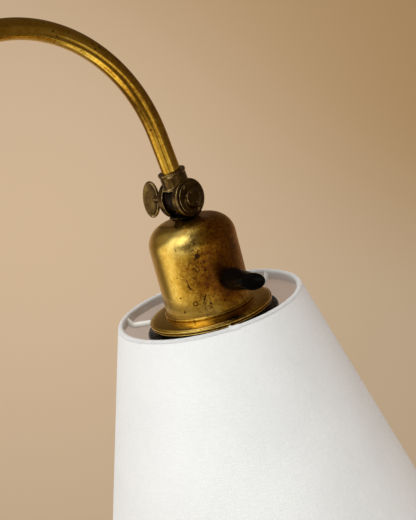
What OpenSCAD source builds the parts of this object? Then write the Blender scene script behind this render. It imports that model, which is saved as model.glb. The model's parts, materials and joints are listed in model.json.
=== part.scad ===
// Bridge floor lamp: weighted base, two-part column, crook arm, knuckle joint,
// bell with lampholder and turn key, cone shade on a wire carrier.
// Millimetres. The origin is the centre of the base's underside, +Z is up,
// and the arm reaches out along +X.

/* [Base] */
// Diameter of the base
base_d = 250; // [210:5:320]
// Height of the upright rim of the cover
rim_h = 16; // [15:1:24]
// Height of the flat seat that the column stands on
seat_z = 25; // [25:1:40]
// Wall of the spun cover
cover_t = 1.2; // [0.8:0.1:2]
// Thickness of the felt
felt_t = 2; // [1.5:0.5:4]
// Bore of the cord inlet bush
inlet_d = 6.5; // [5:0.5:7.5]
// Diameter of the threaded tube through the base
stud_d = 10; // [8:0.5:12]

/* [Column] */
// Outside diameter of the lower tube
column_d = 16; // [15:0.5:20]
// Wall of the lower tube
column_t = 1; // [0.8:0.1:1.2]
// Length of the lower tube
column_l = 880; // [700:10:1000]
// Outside diameter of the clamp on top of it
clamp_d = 22; // [22:0.5:28]
// Height of the clamp
clamp_h = 36; // [34:1:50]

/* [Arm] */
// Outside diameter of the upper tube
arm_d = 10; // [9.6:0.1:10.4]
// Wall of the upper tube
arm_t = 1; // [0.8:0.1:1.2]
// Radius of the crook, at the middle of the tube
crook_r = 78.4; // [70:0.1:110]
// Height of the centre of the crook
crook_z = 1297; // [1240:1:1330]
// Angle of the tube's far end from upright
end_tilt = 27.2; // [15:0.1:35]
// Straight length of the tube past the crook, down to the knuckle's centre
end_l = 34.8; // [34:0.1:60]
// Length of tube below the top of the clamp
arm_tail = 300; // [150:10:400]
// Length of the guide bush
bush_l = 20; // [12:1:30]

/* [Knuckle] */
// Radius of the two round ears
ear_r = 10.1; // [9.9:0.1:10.2]
// Thickness of an ear
ear_t = 3.7; // [3.2:0.1:4]
// Width of the slot between the ears
slot_w = 7.5; // [7:0.1:8]
// Radius of the round end of the tongue
tongue_r = 8.3; // [7.5:0.1:8.4]
// Thickness of a friction washer
washer_t = 0.5; // [0.4:0.1:0.8]
// Height of the collar's rim above the pivot
collar_top = 15.5; // [15.2:0.1:18]
// Diameter of the collar
collar_d = 13.9; // [13.6:0.1:14.4]
// Diameter of the thumb screws' shanks
screw_d = 5; // [4:0.5:5.5]
// Length of the thumb plates, across the screw
plate_l = 20; // [16:0.5:20]
// Width of the thumb plates, along the screw
plate_w = 13; // [11:0.5:15]
// Thickness of the thumb plates
plate_t = 1.8; // [1.4:0.1:2.4]
// Distance from an ear to the middle of its thumb plate
plate_off = 16.4; // [15:0.1:18]

/* [Bell] */
// Angle of the head from upright, bottom pointing outwards
head_tilt = 19.8; // [0:0.1:30]
// Distance from the pivot to the top of the bell
bell_top = 11.3; // [11.2:0.1:12.4]
// Distance from the pivot to the foot of the bell
bell_foot = 59.3; // [58.6:0.1:64]
// Diameter of the bell
bell_d = 46.9; // [45:0.1:48]
// Radius of the bell's shoulder
shoulder_r = 12; // [9:0.5:13]
// Wall of the bell
bell_t = 0.9; // [0.6:0.1:1.2]
// Diameter of the saucer
flange_d = 67.4; // [62:0.1:70]
// Drop of the saucer from the bell's foot to its edge
flange_drop = 2.9; // [2:0.1:3.2]
// Diameter of the thin ring under the saucer
lip_d = 66.8; // [60:0.1:69]

/* [Lampholder] */
// Diameter of the lampholder's body
holder_d = 38; // [37:0.1:38.4]
// Diameter of the threaded skirt
skirt_d = 39; // [38.6:0.1:39.4]
// Diameter of the ring that clamps the shade
shade_ring_d = 72.4; // [68:0.1:80]
// Thickness of that ring
shade_ring_t = 5.6; // [5:0.1:8]
// Diameter of the lamp cap
cap_d = 26.4; // [26:0.1:26.6]
// Diameter of the bulb
bulb_d = 60; // [50:1:64]
// Length of the bulb
bulb_l = 105; // [100:1:115]

/* [Switch key] */
// Distance of the key's axis below the pivot
key_s = 43.2; // [42:0.1:44]
// Direction of the key around the head, from +X
key_turn = 262; // [180:1:360]
// Diameter of the key's round hub
key_hub_d = 12; // [10:0.1:13]
// Length of the key
key_l = 19.6; // [16:0.1:21]
// Length of the key's oval end
key_end_l = 16; // [13:0.1:17]
// Width of the key's oval end
key_end_w = 8.8; // [7:0.1:10]
// Turn of the key about its own axis
key_spin = -20; // [-90:1:90]

/* [Shade] */
// Diameter of the shade's top
shade_top_d = 102; // [96:0.1:110]
// Distance from the pivot to the top wire of the shade
shade_s = 60.3; // [60.1:0.1:61.4]
// Height of the shade
shade_h = 220; // [180:5:260]
// Slope of the shade's side from its axis
shade_slope = 17.1; // [12:0.1:24]
// Thickness of the laminated fabric
cover_wall = 0.45; // [0.3:0.05:0.6]
// Diameter of the wire rings
wire_d = 2.3; // [2:0.1:2.4]
// Diameter of the spokes
spoke_d = 2.5; // [2:0.1:2.6]
// Number of spokes
spokes = 3; // [3:1:4]
// Direction of the first spoke around the head, from +X
spoke_turn = 121; // [0:1:130]
// Height of the tape on the inside of the rings
tape_h = 4.6; // [3:0.1:6]

/* [Hidden] */
$fn = 96;

// Finishes
brass = "#b08d3e";
dark_brass = "#7d6a3a";
black = "#17161a";
steel = "#9a9c9e";
white = "#f1efec";

// Radial clearance of a running fit, and of a threaded or pushed joint
run = 0.06;
seat = 0.03;

// Base
base_r = base_d / 2;
lift = 1;                        // the cover's edge above the floor
rim_round = 5;
seat_r = 24;
boss_r = 34;
stud_r = stud_d / 2;
stud_wall = 1.8;
weight_gap = 1.2;                // between the weight and the cover's rim
weight_r = base_r - cover_t - weight_gap;
weight_edge_z = rim_h - 3;
pocket_r = 17;
pocket_z = 12;
washer_h = 1.5;
washer_r = stud_r + 7;
base_nut_h = 4;
base_nut_r = stud_r + 4.2;       // over the corners
stud_low = 3.5;
stud_high = seat_z + 14;
inlet_z = 8.6;                   // height of the cord inlet
bush_wall = 1.6;
bush_flange = 1.8;
bush_tail = 4;
bush_r = inlet_d / 2 + bush_wall;

// Column
column_r = column_d / 2;
column_bore = column_r - column_t;
column_top = seat_z + column_l;
plug_h = 16;
foot_h = 20;
foot_r = 20;
socket_depth = 18;               // how far the clamp reaches down over the column
clamp_z = column_top - socket_depth;
clamp_top = clamp_z + clamp_h;
clamp_r = clamp_d / 2;
clamp_screw_z = column_top + (clamp_h - socket_depth) / 2;
clamp_boss_r = 5.4;
clamp_boss_y = clamp_r + 4.4;

// Arm
arm_r = arm_d / 2;
arm_low = clamp_top - arm_tail;
clip_t = 1;
clip_groove = 0.3;
clip_r = arm_r + 1.4;
clip_gap = 0.1;
bush_z = arm_low + 2 + clip_t + clip_gap;
pivot_x = crook_r + crook_r * cos(end_tilt) + end_l * sin(end_tilt);
pivot_z = crook_z + crook_r * sin(end_tilt) - end_l * cos(end_tilt);

// Knuckle, in a frame with its origin at the pivot
screw_r = screw_d / 2;
screw_lift = 0.05;               // thumb screw's collar above its seat
screw_turn = -99.6;              // direction of its thumb plate
collar_r = collar_d / 2;
slot_half = slot_w / 2;
ear_face = slot_half + ear_t;
roof_r = ear_r - 1;              // round roof of the slot, and the bridge over it
bridge_r = ear_r - 0.1;
mouth_h = 6.9;                   // height of the slot's mouth above the pivot
rim_lip = 0.45;
rim_t = 1.2;
socket_low = roof_r + 0.6;       // foot of the tube's socket above the pivot
tongue_half = slot_half - washer_t - 2 * seat;
relief_r = ear_r + 0.3;          // the tongue's cone is cut back to this around the ears
stub_top = 8.5;
stub_top_r = 9.3;
stub_low_r = 6.1;
web_half = 5.4;                  // half the neck between the tongue's disc and its cone
web_flare = 1.2;
stem_r = 4.9;                    // threaded stem under the cone
stem_low = 26;
nut_base_r = 8.4;
nut_step = 0.7;
nut_boss_r = 4.5;
nut_boss = 2.3;
nut_wall = 0.8;                  // closed end of the nut's thread

// Head, measured along its axis down from the pivot
bell_r = bell_d / 2;
bell_flat_r = bell_r - shoulder_r;
bead_r = 0.7;                    // rolled bead at the foot, its centre this far out
bead_out = 0.3;
bell_hole_r = stem_r + 0.15;
flat_s = bell_foot + bead_r;
flange_t = 0.9;
flange_edge_s = bell_foot + flange_drop;
lip_t = 0.6;
lip_edge_s = flange_edge_s + 1.2;
hub_in_r = skirt_d / 2 + 0.8;
hub_out_r = hub_in_r + 1.5;
lip_flat_s = flat_s + flange_t;
hub_top = lip_flat_s + lip_t;
spoke_s = lip_edge_s + lip_t + spoke_d / 2;
ring_s = spoke_s + spoke_d / 2 + 0.1;
stem_washer_r = 8.2;
stem_washer_t = 1.2;
stem_nut_r = 8;                  // over the corners
stem_nut_h = 4;
stem_washer_s = bell_top + bell_t;
stem_nut_s = stem_washer_s + stem_washer_t;
cap_s = 18;                      // neck of the lampholder's cap, then its body
cap_body_s = 23;
holder_r = holder_d / 2;
switch_s = 35.5;
switch_end = 51.5;
insert_end = 57.5;
insert_r = 15.8;
terminal_x = 10;
terminal_r = 1.5;
strip_w = 4;                     // spring strip of the contacts
strip_t = 0.35;
skirt_r = skirt_d / 2;
skirt_in = 16.4;
skirt_end = 82;
shell_s = 60;
shell_end = 79;
shell_r = cap_d / 2 + 0.35;      // inside radius of the threaded shell
shell_t = 0.4;
tip_s = 58.6;                    // the bulb's contact
contact_r = 5;
bulb_crown = 3.6;                // from the cap's side in to its insulator
spindle_r = 2.4;
spindle_in = 5;
spindle_end = 34;
cam_r = 4.5;
cam_t = 2.5;
cavity_r = 11;                   // room for the cam in the switch body
key_gap = 0.6;
key_back = bell_r + key_gap;
key_hole_r = spindle_r + 1;

// Shade
shade_r = shade_top_d / 2;
slope_t = tan(shade_slope);
wire_r = wire_d / 2;
tape_t = 0.25;
tape_gap = 0.08;
roll_r = wire_r + tape_gap + tape_t + 0.12;     // outside of the tape rolled over a wire
wire_in = cover_wall + wire_r + 0.06;           // from the shade's outside in to a wire's middle
wire_ring_r = shade_r - wire_in;
shade_low_s = shade_s + shade_h;
low_r = shade_r + shade_h * slope_t;
low_ring_r = low_r - wire_in / cos(shade_slope);
spoke_bend_r = wire_ring_r - 3.2;

// ---- helpers ----

// Points of an arc in the plane, from angle a0 to a1, both ends included
function arc(cx, cy, r, a0, a1, n = 8) =
  [for (i = [0 : n]) let (a = a0 + (a1 - a0) * i / n) [cx + r * cos(a), cy + r * sin(a)]];

// Points of an ellipse of full length l and full width w
function oval(l, w, n = 48) =
  [for (i = [0 : n - 1]) let (a = 360 * i / n) [l / 2 * cos(a), w / 2 * sin(a)]];

module ring(r_out, r_in, h) {
  difference() {
    cylinder(r = r_out, h = h);
    translate([0, 0, -1])
      cylinder(r = r_in, h = h + 2);
  }
}

// Turns a shape's +Z axis to +Y
module along_y() {
  rotate([-90, 0, 0])
    children();
}

// Frame of the fork: origin at the pivot, +Z back up along the tube's end
module at_fork() {
  translate([pivot_x, 0, pivot_z])
    rotate([0, -end_tilt, 0])
      children();
}

// Frame of the head: origin at the pivot, the head hangs along -Z
module at_head() {
  translate([pivot_x, 0, pivot_z])
    rotate([0, -head_tilt, 0])
      children();
}

// Revolves a profile drawn as [radius, distance below the pivot]
module turned(points) {
  rotate_extrude()
    polygon([for (p = points) [p[0], -p[1]]]);
}

// Frame of the key: +Z points out along the key's axis from the head's axis
module at_key() {
  at_head()
    translate([0, 0, -key_s])
      rotate([0, 0, key_turn])
        rotate([0, 90, 0])
          rotate([0, 0, key_spin])
            children();
}

// Thumb screw along +Z: tip at z = tip, seat of its collar at z = 0
module thumb_screw(shank_r, tip) {
  neck_r = shank_r - 0.2;
  translate([0, 0, tip])
    cylinder(r = shank_r, h = -tip);
  rotate_extrude()
    polygon([[0, 0], [shank_r + 1.9, 0], [shank_r + 2.2, 0.3], [shank_r + 2.2, 1.3],
      [shank_r + 1.9, 1.6], [neck_r + 0.6, 1.8], [neck_r, 3.2], [0, 3.2]]);
  cylinder(r = neck_r, h = plate_off - plate_w / 2 + 2.5);
  translate([0, 0, plate_off])
    rotate([90, 0, 0])
      translate([0, 0, -plate_t / 2])
        linear_extrude(plate_t)
          polygon(oval(plate_l, plate_w));
}

// ---- stand ----

module base_felt() {
  color("#2f4a36")
    cylinder(r = weight_r - 1, h = felt_t);
}

module base_weight() {
  hub_top_z = seat_z - cover_t;
  color("#3d3e40")
    difference() {
      rotate_extrude()
        polygon([[stud_r + 0.3, felt_t], [weight_r, felt_t], [weight_r, weight_edge_z - 3],
          [weight_r - 3, weight_edge_z], [boss_r + 4, weight_edge_z + 1],
          [boss_r - 6, hub_top_z - 2], [seat_r - 4, hub_top_z], [stud_r + 0.3, hub_top_z]]);
      translate([0, 0, felt_t - 1])
        cylinder(r = pocket_r, h = pocket_z - felt_t + 1);
      // channel from the pocket to the cord inlet
      translate([-base_r, -bush_r - 1, felt_t - 1])
        cube([base_r, 2 * bush_r + 2, inlet_z + bush_r + 1 - felt_t + 1]);
    }
}

module base_cover() {
  outer = concat(
    [[base_r, lift]],
    arc(base_r - rim_round, rim_h - rim_round, rim_round, 0, 82),
    [[boss_r + 8, seat_z - 5], [boss_r + 1.5, seat_z - 4.2], [boss_r, seat_z - 3],
      [seat_r + 3, seat_z - 0.6], [seat_r, seat_z], [stud_r + 0.2, seat_z]]);
  inner = concat(
    [[stud_r + 0.2, seat_z - cover_t], [seat_r - 0.4, seat_z - cover_t],
      [seat_r + 2.6, seat_z - 0.6 - cover_t], [boss_r - 0.6, seat_z - 3 - cover_t],
      [boss_r + 1, seat_z - 4.2 - cover_t], [boss_r + 8, seat_z - 5 - cover_t]],
    arc(base_r - rim_round, rim_h - rim_round, rim_round - cover_t, 82, 0),
    [[base_r - cover_t, lift]]);
  color(brass)
    difference() {
      rotate_extrude()
        polygon(concat(outer, inner));
      translate([-base_r - 1, 0, inlet_z])
        rotate([0, 90, 0])
          cylinder(r = bush_r + seat, h = 6);
    }
}

module base_stud() {
  color(steel)
    translate([0, 0, stud_low])
      ring(stud_r, stud_r - stud_wall, stud_high - stud_low);
}

module base_washer() {
  color(steel)
    translate([0, 0, pocket_z - washer_h])
      ring(washer_r, stud_r + 0.2, washer_h);
}

module base_nut() {
  color(steel)
    translate([0, 0, pocket_z - washer_h - base_nut_h])
      difference() {
        cylinder(r = base_nut_r, h = base_nut_h, $fn = 6);
        translate([0, 0, -1])
          cylinder(r = stud_r + seat, h = base_nut_h + 2);
      }
}

module cord_bush() {
  color(black)
    translate([-base_r, 0, inlet_z])
      rotate([0, -90, 0])
        difference() {
          union() {
            rotate_extrude()
              polygon([[0, 0.1], [bush_r + 1.6, 0.1], [bush_r + 1.6, 0.8],
                [bush_r + 0.6, bush_flange], [0, bush_flange]]);
            translate([0, 0, -bush_tail])
              cylinder(r = bush_r, h = bush_tail + 1);
          }
          translate([0, 0, -bush_tail - 1])
            cylinder(d = inlet_d, h = bush_tail + bush_flange + 2);
        }
}

module column_plug() {
  color(brass)
    translate([0, 0, seat_z])
      ring(column_bore - seat, stud_r + seat, plug_h);
}

module column_foot() {
  top_r = column_r + 3;
  color(brass)
    translate([0, 0, seat_z])
      rotate_extrude()
        polygon(concat(
          [[column_r + seat, 0]],
          arc(foot_r - 1.2, 1.2, 1.2, -90, 80, 6),
          [[foot_r - 4, 3.2]],
          [for (i = [0 : 8]) let (a = 90 * i / 8)
            [top_r + (foot_r - 5 - top_r) * (1 - sin(a)), foot_h - 4 - (foot_h - 8) * cos(a)]],
          arc(top_r, foot_h - 2.4, 1.6, -80, 80, 6),
          [[column_r + 1.2, foot_h], [column_r + seat, foot_h]]));
}

module column() {
  color(brass)
    translate([0, 0, seat_z])
      ring(column_r, column_bore, column_l);
}

module clamp_collar() {
  color(dark_brass)
    difference() {
      union() {
        translate([0, 0, clamp_z])
          rotate_extrude()
            polygon([[0, 0], [clamp_r - 1.5, 0], [clamp_r - 0.5, 1], [clamp_r - 0.5, 3.4],
              [clamp_r - 1.2, 4], [clamp_r - 1.2, 5.6], [clamp_r, 6.4],
              [clamp_r, clamp_h - 6], [clamp_r - 4.4, clamp_h - 1], [clamp_r - 5, clamp_h],
              [0, clamp_h]]);
        translate([0, 0, clamp_screw_z])
          along_y()
            cylinder(r = clamp_boss_r, h = clamp_boss_y);
      }
      translate([0, 0, clamp_z - 1])
        cylinder(r = column_r + seat, h = socket_depth + 1);
      translate([0, 0, clamp_z])
        cylinder(r = arm_r + run, h = clamp_h + 1);
      translate([0, 0, clamp_screw_z])
        along_y()
          cylinder(r = screw_r + run, h = clamp_boss_y + 1);
    }
}

module height_screw() {
  seat_y = clamp_boss_y + 0.15;
  color(dark_brass)
    translate([0, seat_y, clamp_screw_z])
      along_y()
        rotate([0, 0, 12])
          thumb_screw(screw_r, arm_r + 0.15 - seat_y);
}

// ---- sliding upper part ----

module guide_bush() {
  color(brass)
    translate([0, 0, bush_z])
      ring(column_bore - run, arm_r + run, bush_l);
}

module guide_clips() {
  color(steel)
    for (z = [bush_z - clip_gap - clip_t, bush_z + bush_l + clip_gap])
      translate([0, 0, z])
        ring(clip_r, arm_r - clip_groove + seat, clip_t);
}

// The upper tube as one bent bar of radius r, run on past both ends by extra
module arm_bar(r, extra) {
  tail = crook_z - arm_low;
  tube_end = end_l - socket_low - 0.1;
  // the bend draws the wall in by this much, and starts this far inside the straights
  draw = 0.02;
  lap = 0.1;
  translate([0, 0, arm_low - extra])
    cylinder(r = r, h = tail + extra + lap);
  translate([crook_r, 0, crook_z])
    rotate([90, 0, 0])
      rotate([0, 0, end_tilt])
        rotate_extrude(angle = 180 - end_tilt)
          translate([crook_r, 0])
            circle(r = r - draw);
  at_fork()
    translate([0, 0, end_l - tube_end - extra])
      cylinder(r = r, h = tube_end + extra + lap);
}

module arm_tube() {
  color(brass)
    difference() {
      arm_bar(arm_r, 0);
      arm_bar(arm_r - arm_t, 1);
      for (z = [bush_z - clip_gap - clip_t, bush_z + bush_l + clip_gap])
        translate([0, 0, z])
          ring(arm_r + 1, arm_r - clip_groove, clip_t);
    }
}

// ---- knuckle ----

module ear(side) {
  edge = 0.5;
  rotate([side > 0 ? -90 : 90, 0, 0])
    translate([0, 0, slot_half])
      rotate_extrude()
        polygon(concat([[0, 0], [ear_r, 0]],
          arc(ear_r - edge, ear_t - edge, edge, 0, 90, 4), [[0, ear_t]]));
}

module knuckle_fork() {
  lap = 0.1;
  collar_low = 1;
  edge = 0.4;
  collar = concat(
    [[0, collar_low], [collar_r, collar_low], [collar_r, collar_top - rim_t - 0.5],
      [collar_r + rim_lip, collar_top - rim_t]],
    arc(collar_r + rim_lip - edge, collar_top - edge, edge, 0, 90, 4),
    [[0, collar_top]]);
  color(dark_brass)
    at_fork()
      difference() {
        union() {
          rotate_extrude()
            polygon(collar);
          ear(1);
          ear(-1);
          // bridge between the ears
          translate([0, slot_half + lap, 0])
            rotate([90, 0, 0])
              cylinder(r = bridge_r, h = slot_w + 2 * lap);
        }
        // slot with a round roof, open in front and behind
        translate([0, slot_half, 0])
          rotate([90, 0, 0])
            cylinder(r = roof_r, h = slot_w);
        translate([-ear_r - 1, -slot_half, -ear_r - 1])
          cube([2 * ear_r + 2, slot_w, ear_r + 1 + mouth_h]);
        // socket for the tube
        translate([0, 0, socket_low])
          cylinder(r = arm_r + seat, h = collar_top);
        // hole for the screw
        translate([0, -ear_face - 1, 0])
          along_y()
            cylinder(r = screw_r + run, h = 2 * ear_face + 2);
      }
}

module tilt_nut() {
  color(dark_brass)
    at_fork()
      translate([0, -ear_face, 0])
        rotate([90, 0, 0])
          rotate_extrude()
            polygon(concat(
              [[screw_r + seat, 0], [nut_base_r, 0], [nut_base_r, nut_step * 0.6],
                [nut_base_r - 0.4, nut_step]],
              [for (i = [1 : 5]) let (a = 90 * i / 6)
                [nut_base_r - 0.4 - (nut_base_r - 0.4 - nut_boss_r - 0.5) * sin(a),
                  nut_step + (nut_boss - 0.9 - nut_step) * (1 - cos(a))]],
              [[nut_boss_r + 0.15, nut_boss - 0.6], [nut_boss_r, nut_boss - 0.3],
                [nut_boss_r - 0.3, nut_boss], [0, nut_boss], [0, nut_boss - nut_wall],
                [screw_r + seat, nut_boss - nut_wall]]));
}

module tilt_screw() {
  seat_y = ear_face + screw_lift;
  color(dark_brass)
    translate([pivot_x, seat_y, pivot_z])
      along_y()
        rotate([0, 0, screw_turn])
          thumb_screw(screw_r, -seat_y - ear_face - nut_boss + nut_wall + 0.3);
}

module friction_washers() {
  color("#8a6b3f")
    at_fork()
      for (side = [-1, 1])
        rotate([side > 0 ? -90 : 90, 0, 0])
          translate([0, 0, slot_half - washer_t - seat])
            ring(tongue_r - 0.6, screw_r + run, washer_t);
}

module knuckle_tongue() {
  color(dark_brass)
    at_head()
      difference() {
        union() {
          translate([0, -tongue_half, 0])
            along_y()
              cylinder(r = tongue_r, h = 2 * tongue_half);
          translate([0, tongue_half, 0])
            rotate([90, 0, 0])
              linear_extrude(2 * tongue_half)
                polygon([[-web_half, -web_half], [web_half, -web_half],
                  [web_half + web_flare, -stub_top - 1], [-web_half - web_flare, -stub_top - 1]]);
          difference() {
            turned([[0, stub_top], [stub_top_r - 0.3, stub_top], [stub_top_r, stub_top + 0.4],
              [stub_low_r, bell_top], [0, bell_top]]);
            for (side = [0, 1])
              translate([0, side == 0 ? tongue_half : -tongue_half - stub_top_r, 0])
                along_y()
                  cylinder(r = relief_r, h = stub_top_r);
          }
          translate([0, 0, -stem_low])
            cylinder(r = stem_r, h = stem_low - bell_top + 0.2);
        }
        translate([0, -tongue_half - 1, 0])
          along_y()
            cylinder(r = screw_r + run, h = 2 * tongue_half + 2);
      }
}

module stem_washer() {
  color(steel)
    at_head()
      translate([0, 0, -stem_nut_s])
        ring(stem_washer_r, stem_r + 0.2, stem_washer_t);
}

module stem_nut() {
  color(brass)
    at_head()
      translate([0, 0, -stem_nut_s - stem_nut_h])
        difference() {
          cylinder(r = stem_nut_r, h = stem_nut_h, $fn = 6);
          translate([0, 0, -1])
            cylinder(r = stem_r + seat, h = stem_nut_h + 2);
        }
}

// ---- bell and rings ----

module bell() {
  inner_r = bell_r - bell_t;
  color(brass)
    at_head()
      difference() {
        turned(concat(
          [[bell_hole_r, bell_top]],
          [for (p = arc(bell_flat_r, -bell_top - shoulder_r, shoulder_r, 90, 0, 14)) [p[0], -p[1]]],
          [[bell_r, bell_foot - 1.6]],
          [for (p = arc(bell_r + bead_out, -bell_foot, bead_r, 100, -90, 8)) [p[0], -p[1]]],
          [[inner_r, flat_s], [inner_r, bell_top + shoulder_r]],
          [for (p = arc(bell_flat_r, -bell_top - shoulder_r, shoulder_r - bell_t, 0, 90, 14))
            [p[0], -p[1]]],
          [[bell_hole_r, bell_top + bell_t]]));
        translate([0, 0, -key_s])
          rotate([0, 0, key_turn])
            rotate([0, 90, 0])
              cylinder(r = key_hole_r, h = bell_r + 2);
      }
}

module flange_ring() {
  edge_r = flange_d / 2;
  start_r = bell_r + 1.6;
  roll = 0.75;
  // quarter-wave from the flat under the bell out to the rolled edge
  wave = [for (i = [0 : 8]) let (t = i / 8)
    [start_r + (edge_r - roll - start_r) * t,
      flat_s + (flange_edge_s - roll - flat_s) * (1 - cos(90 * t))]];
  color(brass)
    at_head()
      turned(concat(
        [[hub_in_r, flat_s]],
        wave,
        [for (p = arc(edge_r - roll, -flange_edge_s, roll, 80, -90, 6)) [p[0], -p[1]]],
        [[edge_r - roll - 0.5, flange_edge_s + roll - 0.1]],
        [for (i = [8 : -1 : 0]) [wave[i][0] - 0.25, wave[i][1] + flange_t]],
        [[hub_in_r, flat_s + flange_t]]));
}

module lip_ring() {
  edge_r = lip_d / 2;
  flat_r = hub_out_r + 1;
  color(brass)
    at_head()
      turned([[hub_in_r, lip_flat_s], [flat_r, lip_flat_s], [edge_r - 5, lip_edge_s - 0.2],
        [edge_r - 0.3, lip_edge_s], [edge_r, lip_edge_s + lip_t / 2],
        [edge_r - 0.3, lip_edge_s + lip_t], [edge_r - 5, lip_edge_s + lip_t - 0.1],
        [flat_r - 0.1, hub_top], [hub_in_r, hub_top]]);
}

module shade_ring() {
  r = shade_ring_d / 2;
  round = 1.3;
  color(black)
    at_head()
      turned(concat(
        [[skirt_r + seat, ring_s]],
        [for (p = arc(r - round, -ring_s - round, round, 90, 0, 5)) [p[0], -p[1]]],
        [[r, ring_s + 3], [r - 1.6, ring_s + shade_ring_t - 1], [r - 3, ring_s + shade_ring_t],
          [skirt_r + 5, ring_s + shade_ring_t], [skirt_r + 4, ring_s + shade_ring_t + 3],
          [skirt_r + seat, ring_s + shade_ring_t + 3]]));
}

// ---- lampholder ----

module holder_cap() {
  wall = 2.2;
  color(black)
    at_head()
      turned([[stem_r + seat, cap_s], [9, cap_s], [9.4, cap_body_s - 1], [holder_r - 3, cap_body_s],
        [holder_r, cap_body_s + 3], [holder_r, switch_s], [holder_r - wall, switch_s],
        [holder_r - wall, cap_body_s + 4], [holder_r - 5, cap_body_s + wall],
        [stem_r + seat, cap_body_s + wall]]);
}

module switch_body() {
  color(black)
    at_head()
      difference() {
        turned([[0, switch_s], [holder_r, switch_s], [holder_r, switch_end], [0, switch_end]]);
        // room for the cam
        translate([0, 0, -switch_end - 1])
          cylinder(r = cavity_r, h = switch_end - switch_s - 2);
        translate([0, 0, -key_s])
          rotate([0, 0, key_turn])
            rotate([0, 90, 0])
              cylinder(r = spindle_r + run, h = holder_r + 2);
      }
}

module contact_insert() {
  color("#e8e2d4")
    at_head()
      difference() {
        turned([[0, switch_end], [insert_r, switch_end], [insert_r, insert_end], [0, insert_end]]);
        for (side = [-1, 1])
          translate([side * terminal_x, 0, -insert_end - 1])
            cylinder(r = terminal_r + 0.05, h = insert_end - switch_end + 2);
      }
}

module centre_contact() {
  // the free end bears on the bulb's contact
  end_s = tip_s - 0.05;
  color("#c0803c")
    at_head()
      rotate([90, 0, 0])
        translate([0, 0, -strip_w / 2])
          linear_extrude(strip_w)
            polygon([[-5, -insert_end], [3.6, -insert_end], [2.4, -end_s], [-1.6, -end_s],
              [-1.6, -end_s + 0.3], [1.9, -end_s + 0.3], [2.9, -insert_end - strip_t],
              [-5, -insert_end - strip_t]]);
}

module side_contact() {
  color("#c0803c")
    at_head()
      rotate([0, 0, 90])
        translate([0, 0, -insert_end])
          rotate([90, 0, 0])
            translate([0, 0, -strip_w / 2])
              linear_extrude(strip_w)
                polygon([[7, 0], [7, -0.4], [11.4, -0.4], [12.6, -2.4], [13, -2.4], [11.8, 0]]);
}

module terminal_screws() {
  head_h = 1.6;
  color(steel)
    at_head()
      for (side = [-1, 1])
        translate([side * terminal_x, 0, -insert_end])
          difference() {
            union() {
              cylinder(r = terminal_r, h = insert_end - switch_end - 0.5);
              translate([0, 0, -head_h])
                cylinder(r = 2.6, h = head_h);
            }
            translate([-3, -0.4, -2])
              cube([6, 0.8, 1]);
          }
}

module thread_shell() {
  turns = 5;
  pitch = (shell_end - shell_s - 2) / turns;
  depth = 0.3;
  outer = [for (i = [0 : turns * 8]) let (z = shell_s + 1 + pitch * i / 8)
    [shell_r + shell_t + depth * sin(360 * i / 8), z]];
  color("#c9a95b")
    at_head()
      turned(concat(
        [[shell_r + shell_t, shell_s]],
        outer,
        [[shell_r + shell_t, shell_end], [shell_r, shell_end]],
        [for (i = [len(outer) - 1 : -1 : 0]) [outer[i][0] - shell_t, outer[i][1]]],
        [[shell_r, shell_s]]));
}

module holder_skirt() {
  mouth_r = shell_r + shell_t + 0.6;
  color(black)
    at_head()
      turned([[insert_r + seat, switch_end], [holder_r, switch_end], [skirt_r, switch_end + 1],
        [skirt_r, skirt_end - 1], [skirt_r - 1, skirt_end], [mouth_r, skirt_end],
        [mouth_r, shell_end + 0.6], [skirt_in, shell_end - 2],
        [skirt_in, insert_end + 0.6], [insert_r + seat, insert_end]]);
}

module switch_spindle() {
  color(steel)
    at_key() {
      translate([0, 0, spindle_in])
        cylinder(r = spindle_r, h = spindle_end - spindle_in);
      translate([0, 0, spindle_in])
        cylinder(r = cam_r, h = cam_t);
    }
}

module switch_key() {
  hub_r = key_hub_d / 2;
  hub_l = 3.4;
  end_z = key_back + key_l;
  lip = 2.2;
  edge = 0.6;
  dish = 0.9;
  dish_r = 26;
  steps = 40;
  color(black)
    at_key()
      difference() {
        union() {
          translate([0, 0, key_back])
            rotate_extrude()
              polygon([[0, 0], [hub_r - 2.4, 0], [hub_r - 1, 0.5], [hub_r - 0.2, 1.6],
                [hub_r, 2.6], [hub_r, hub_l], [0, hub_l]]);
          hull() {
            translate([0, 0, key_back + hub_l - 0.5])
              cylinder(r = hub_r, h = 0.5, $fn = steps);
            translate([0, 0, end_z - lip])
              rotate([0, 0, 90])
                linear_extrude(lip - edge)
                  polygon(oval(key_end_l, key_end_w, steps));
            translate([0, 0, end_z - edge])
              rotate([0, 0, 90])
                linear_extrude(edge)
                  polygon(oval(key_end_l - 2 * edge, key_end_w - 2 * edge, steps));
          }
        }
        // dished end
        translate([0, 0, end_z + dish_r - dish])
          sphere(r = dish_r);
        translate([0, 0, key_back - 1])
          cylinder(r = spindle_r + seat, h = spindle_end - key_back + 1.1);
      }
}

// ---- bulb ----

// Half outline of the bulb, offset inwards by d: a ball, a curve pulled inwards, and the neck
function bulb_profile(d) =
  let (r = bulb_d / 2 - d, end_s = tip_s + bulb_l, centre_s = end_s - bulb_d / 2,
    neck_s = tip_s + 27, neck_r = cap_d / 2 - 0.4 - d, a = 38, pull = 9)
  concat(
    [[0, centre_s + r]],
    [for (i = [1 : 14]) let (t = 90 - (90 + a) * i / 14) [r * cos(t), centre_s + r * sin(t)]],
    [for (i = [1 : 5]) let (t = i / 6, u = 1 - t,
      r0 = r * cos(a), s0 = centre_s - r * sin(a))
      [r0 * u * u + 2 * (r0 - pull) * u * t + neck_r * t * t,
        s0 * u * u + 2 * (s0 - pull) * u * t + neck_s * t * t]],
    [[neck_r, neck_s], [neck_r, neck_s - 3.2 + d]]);

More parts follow.
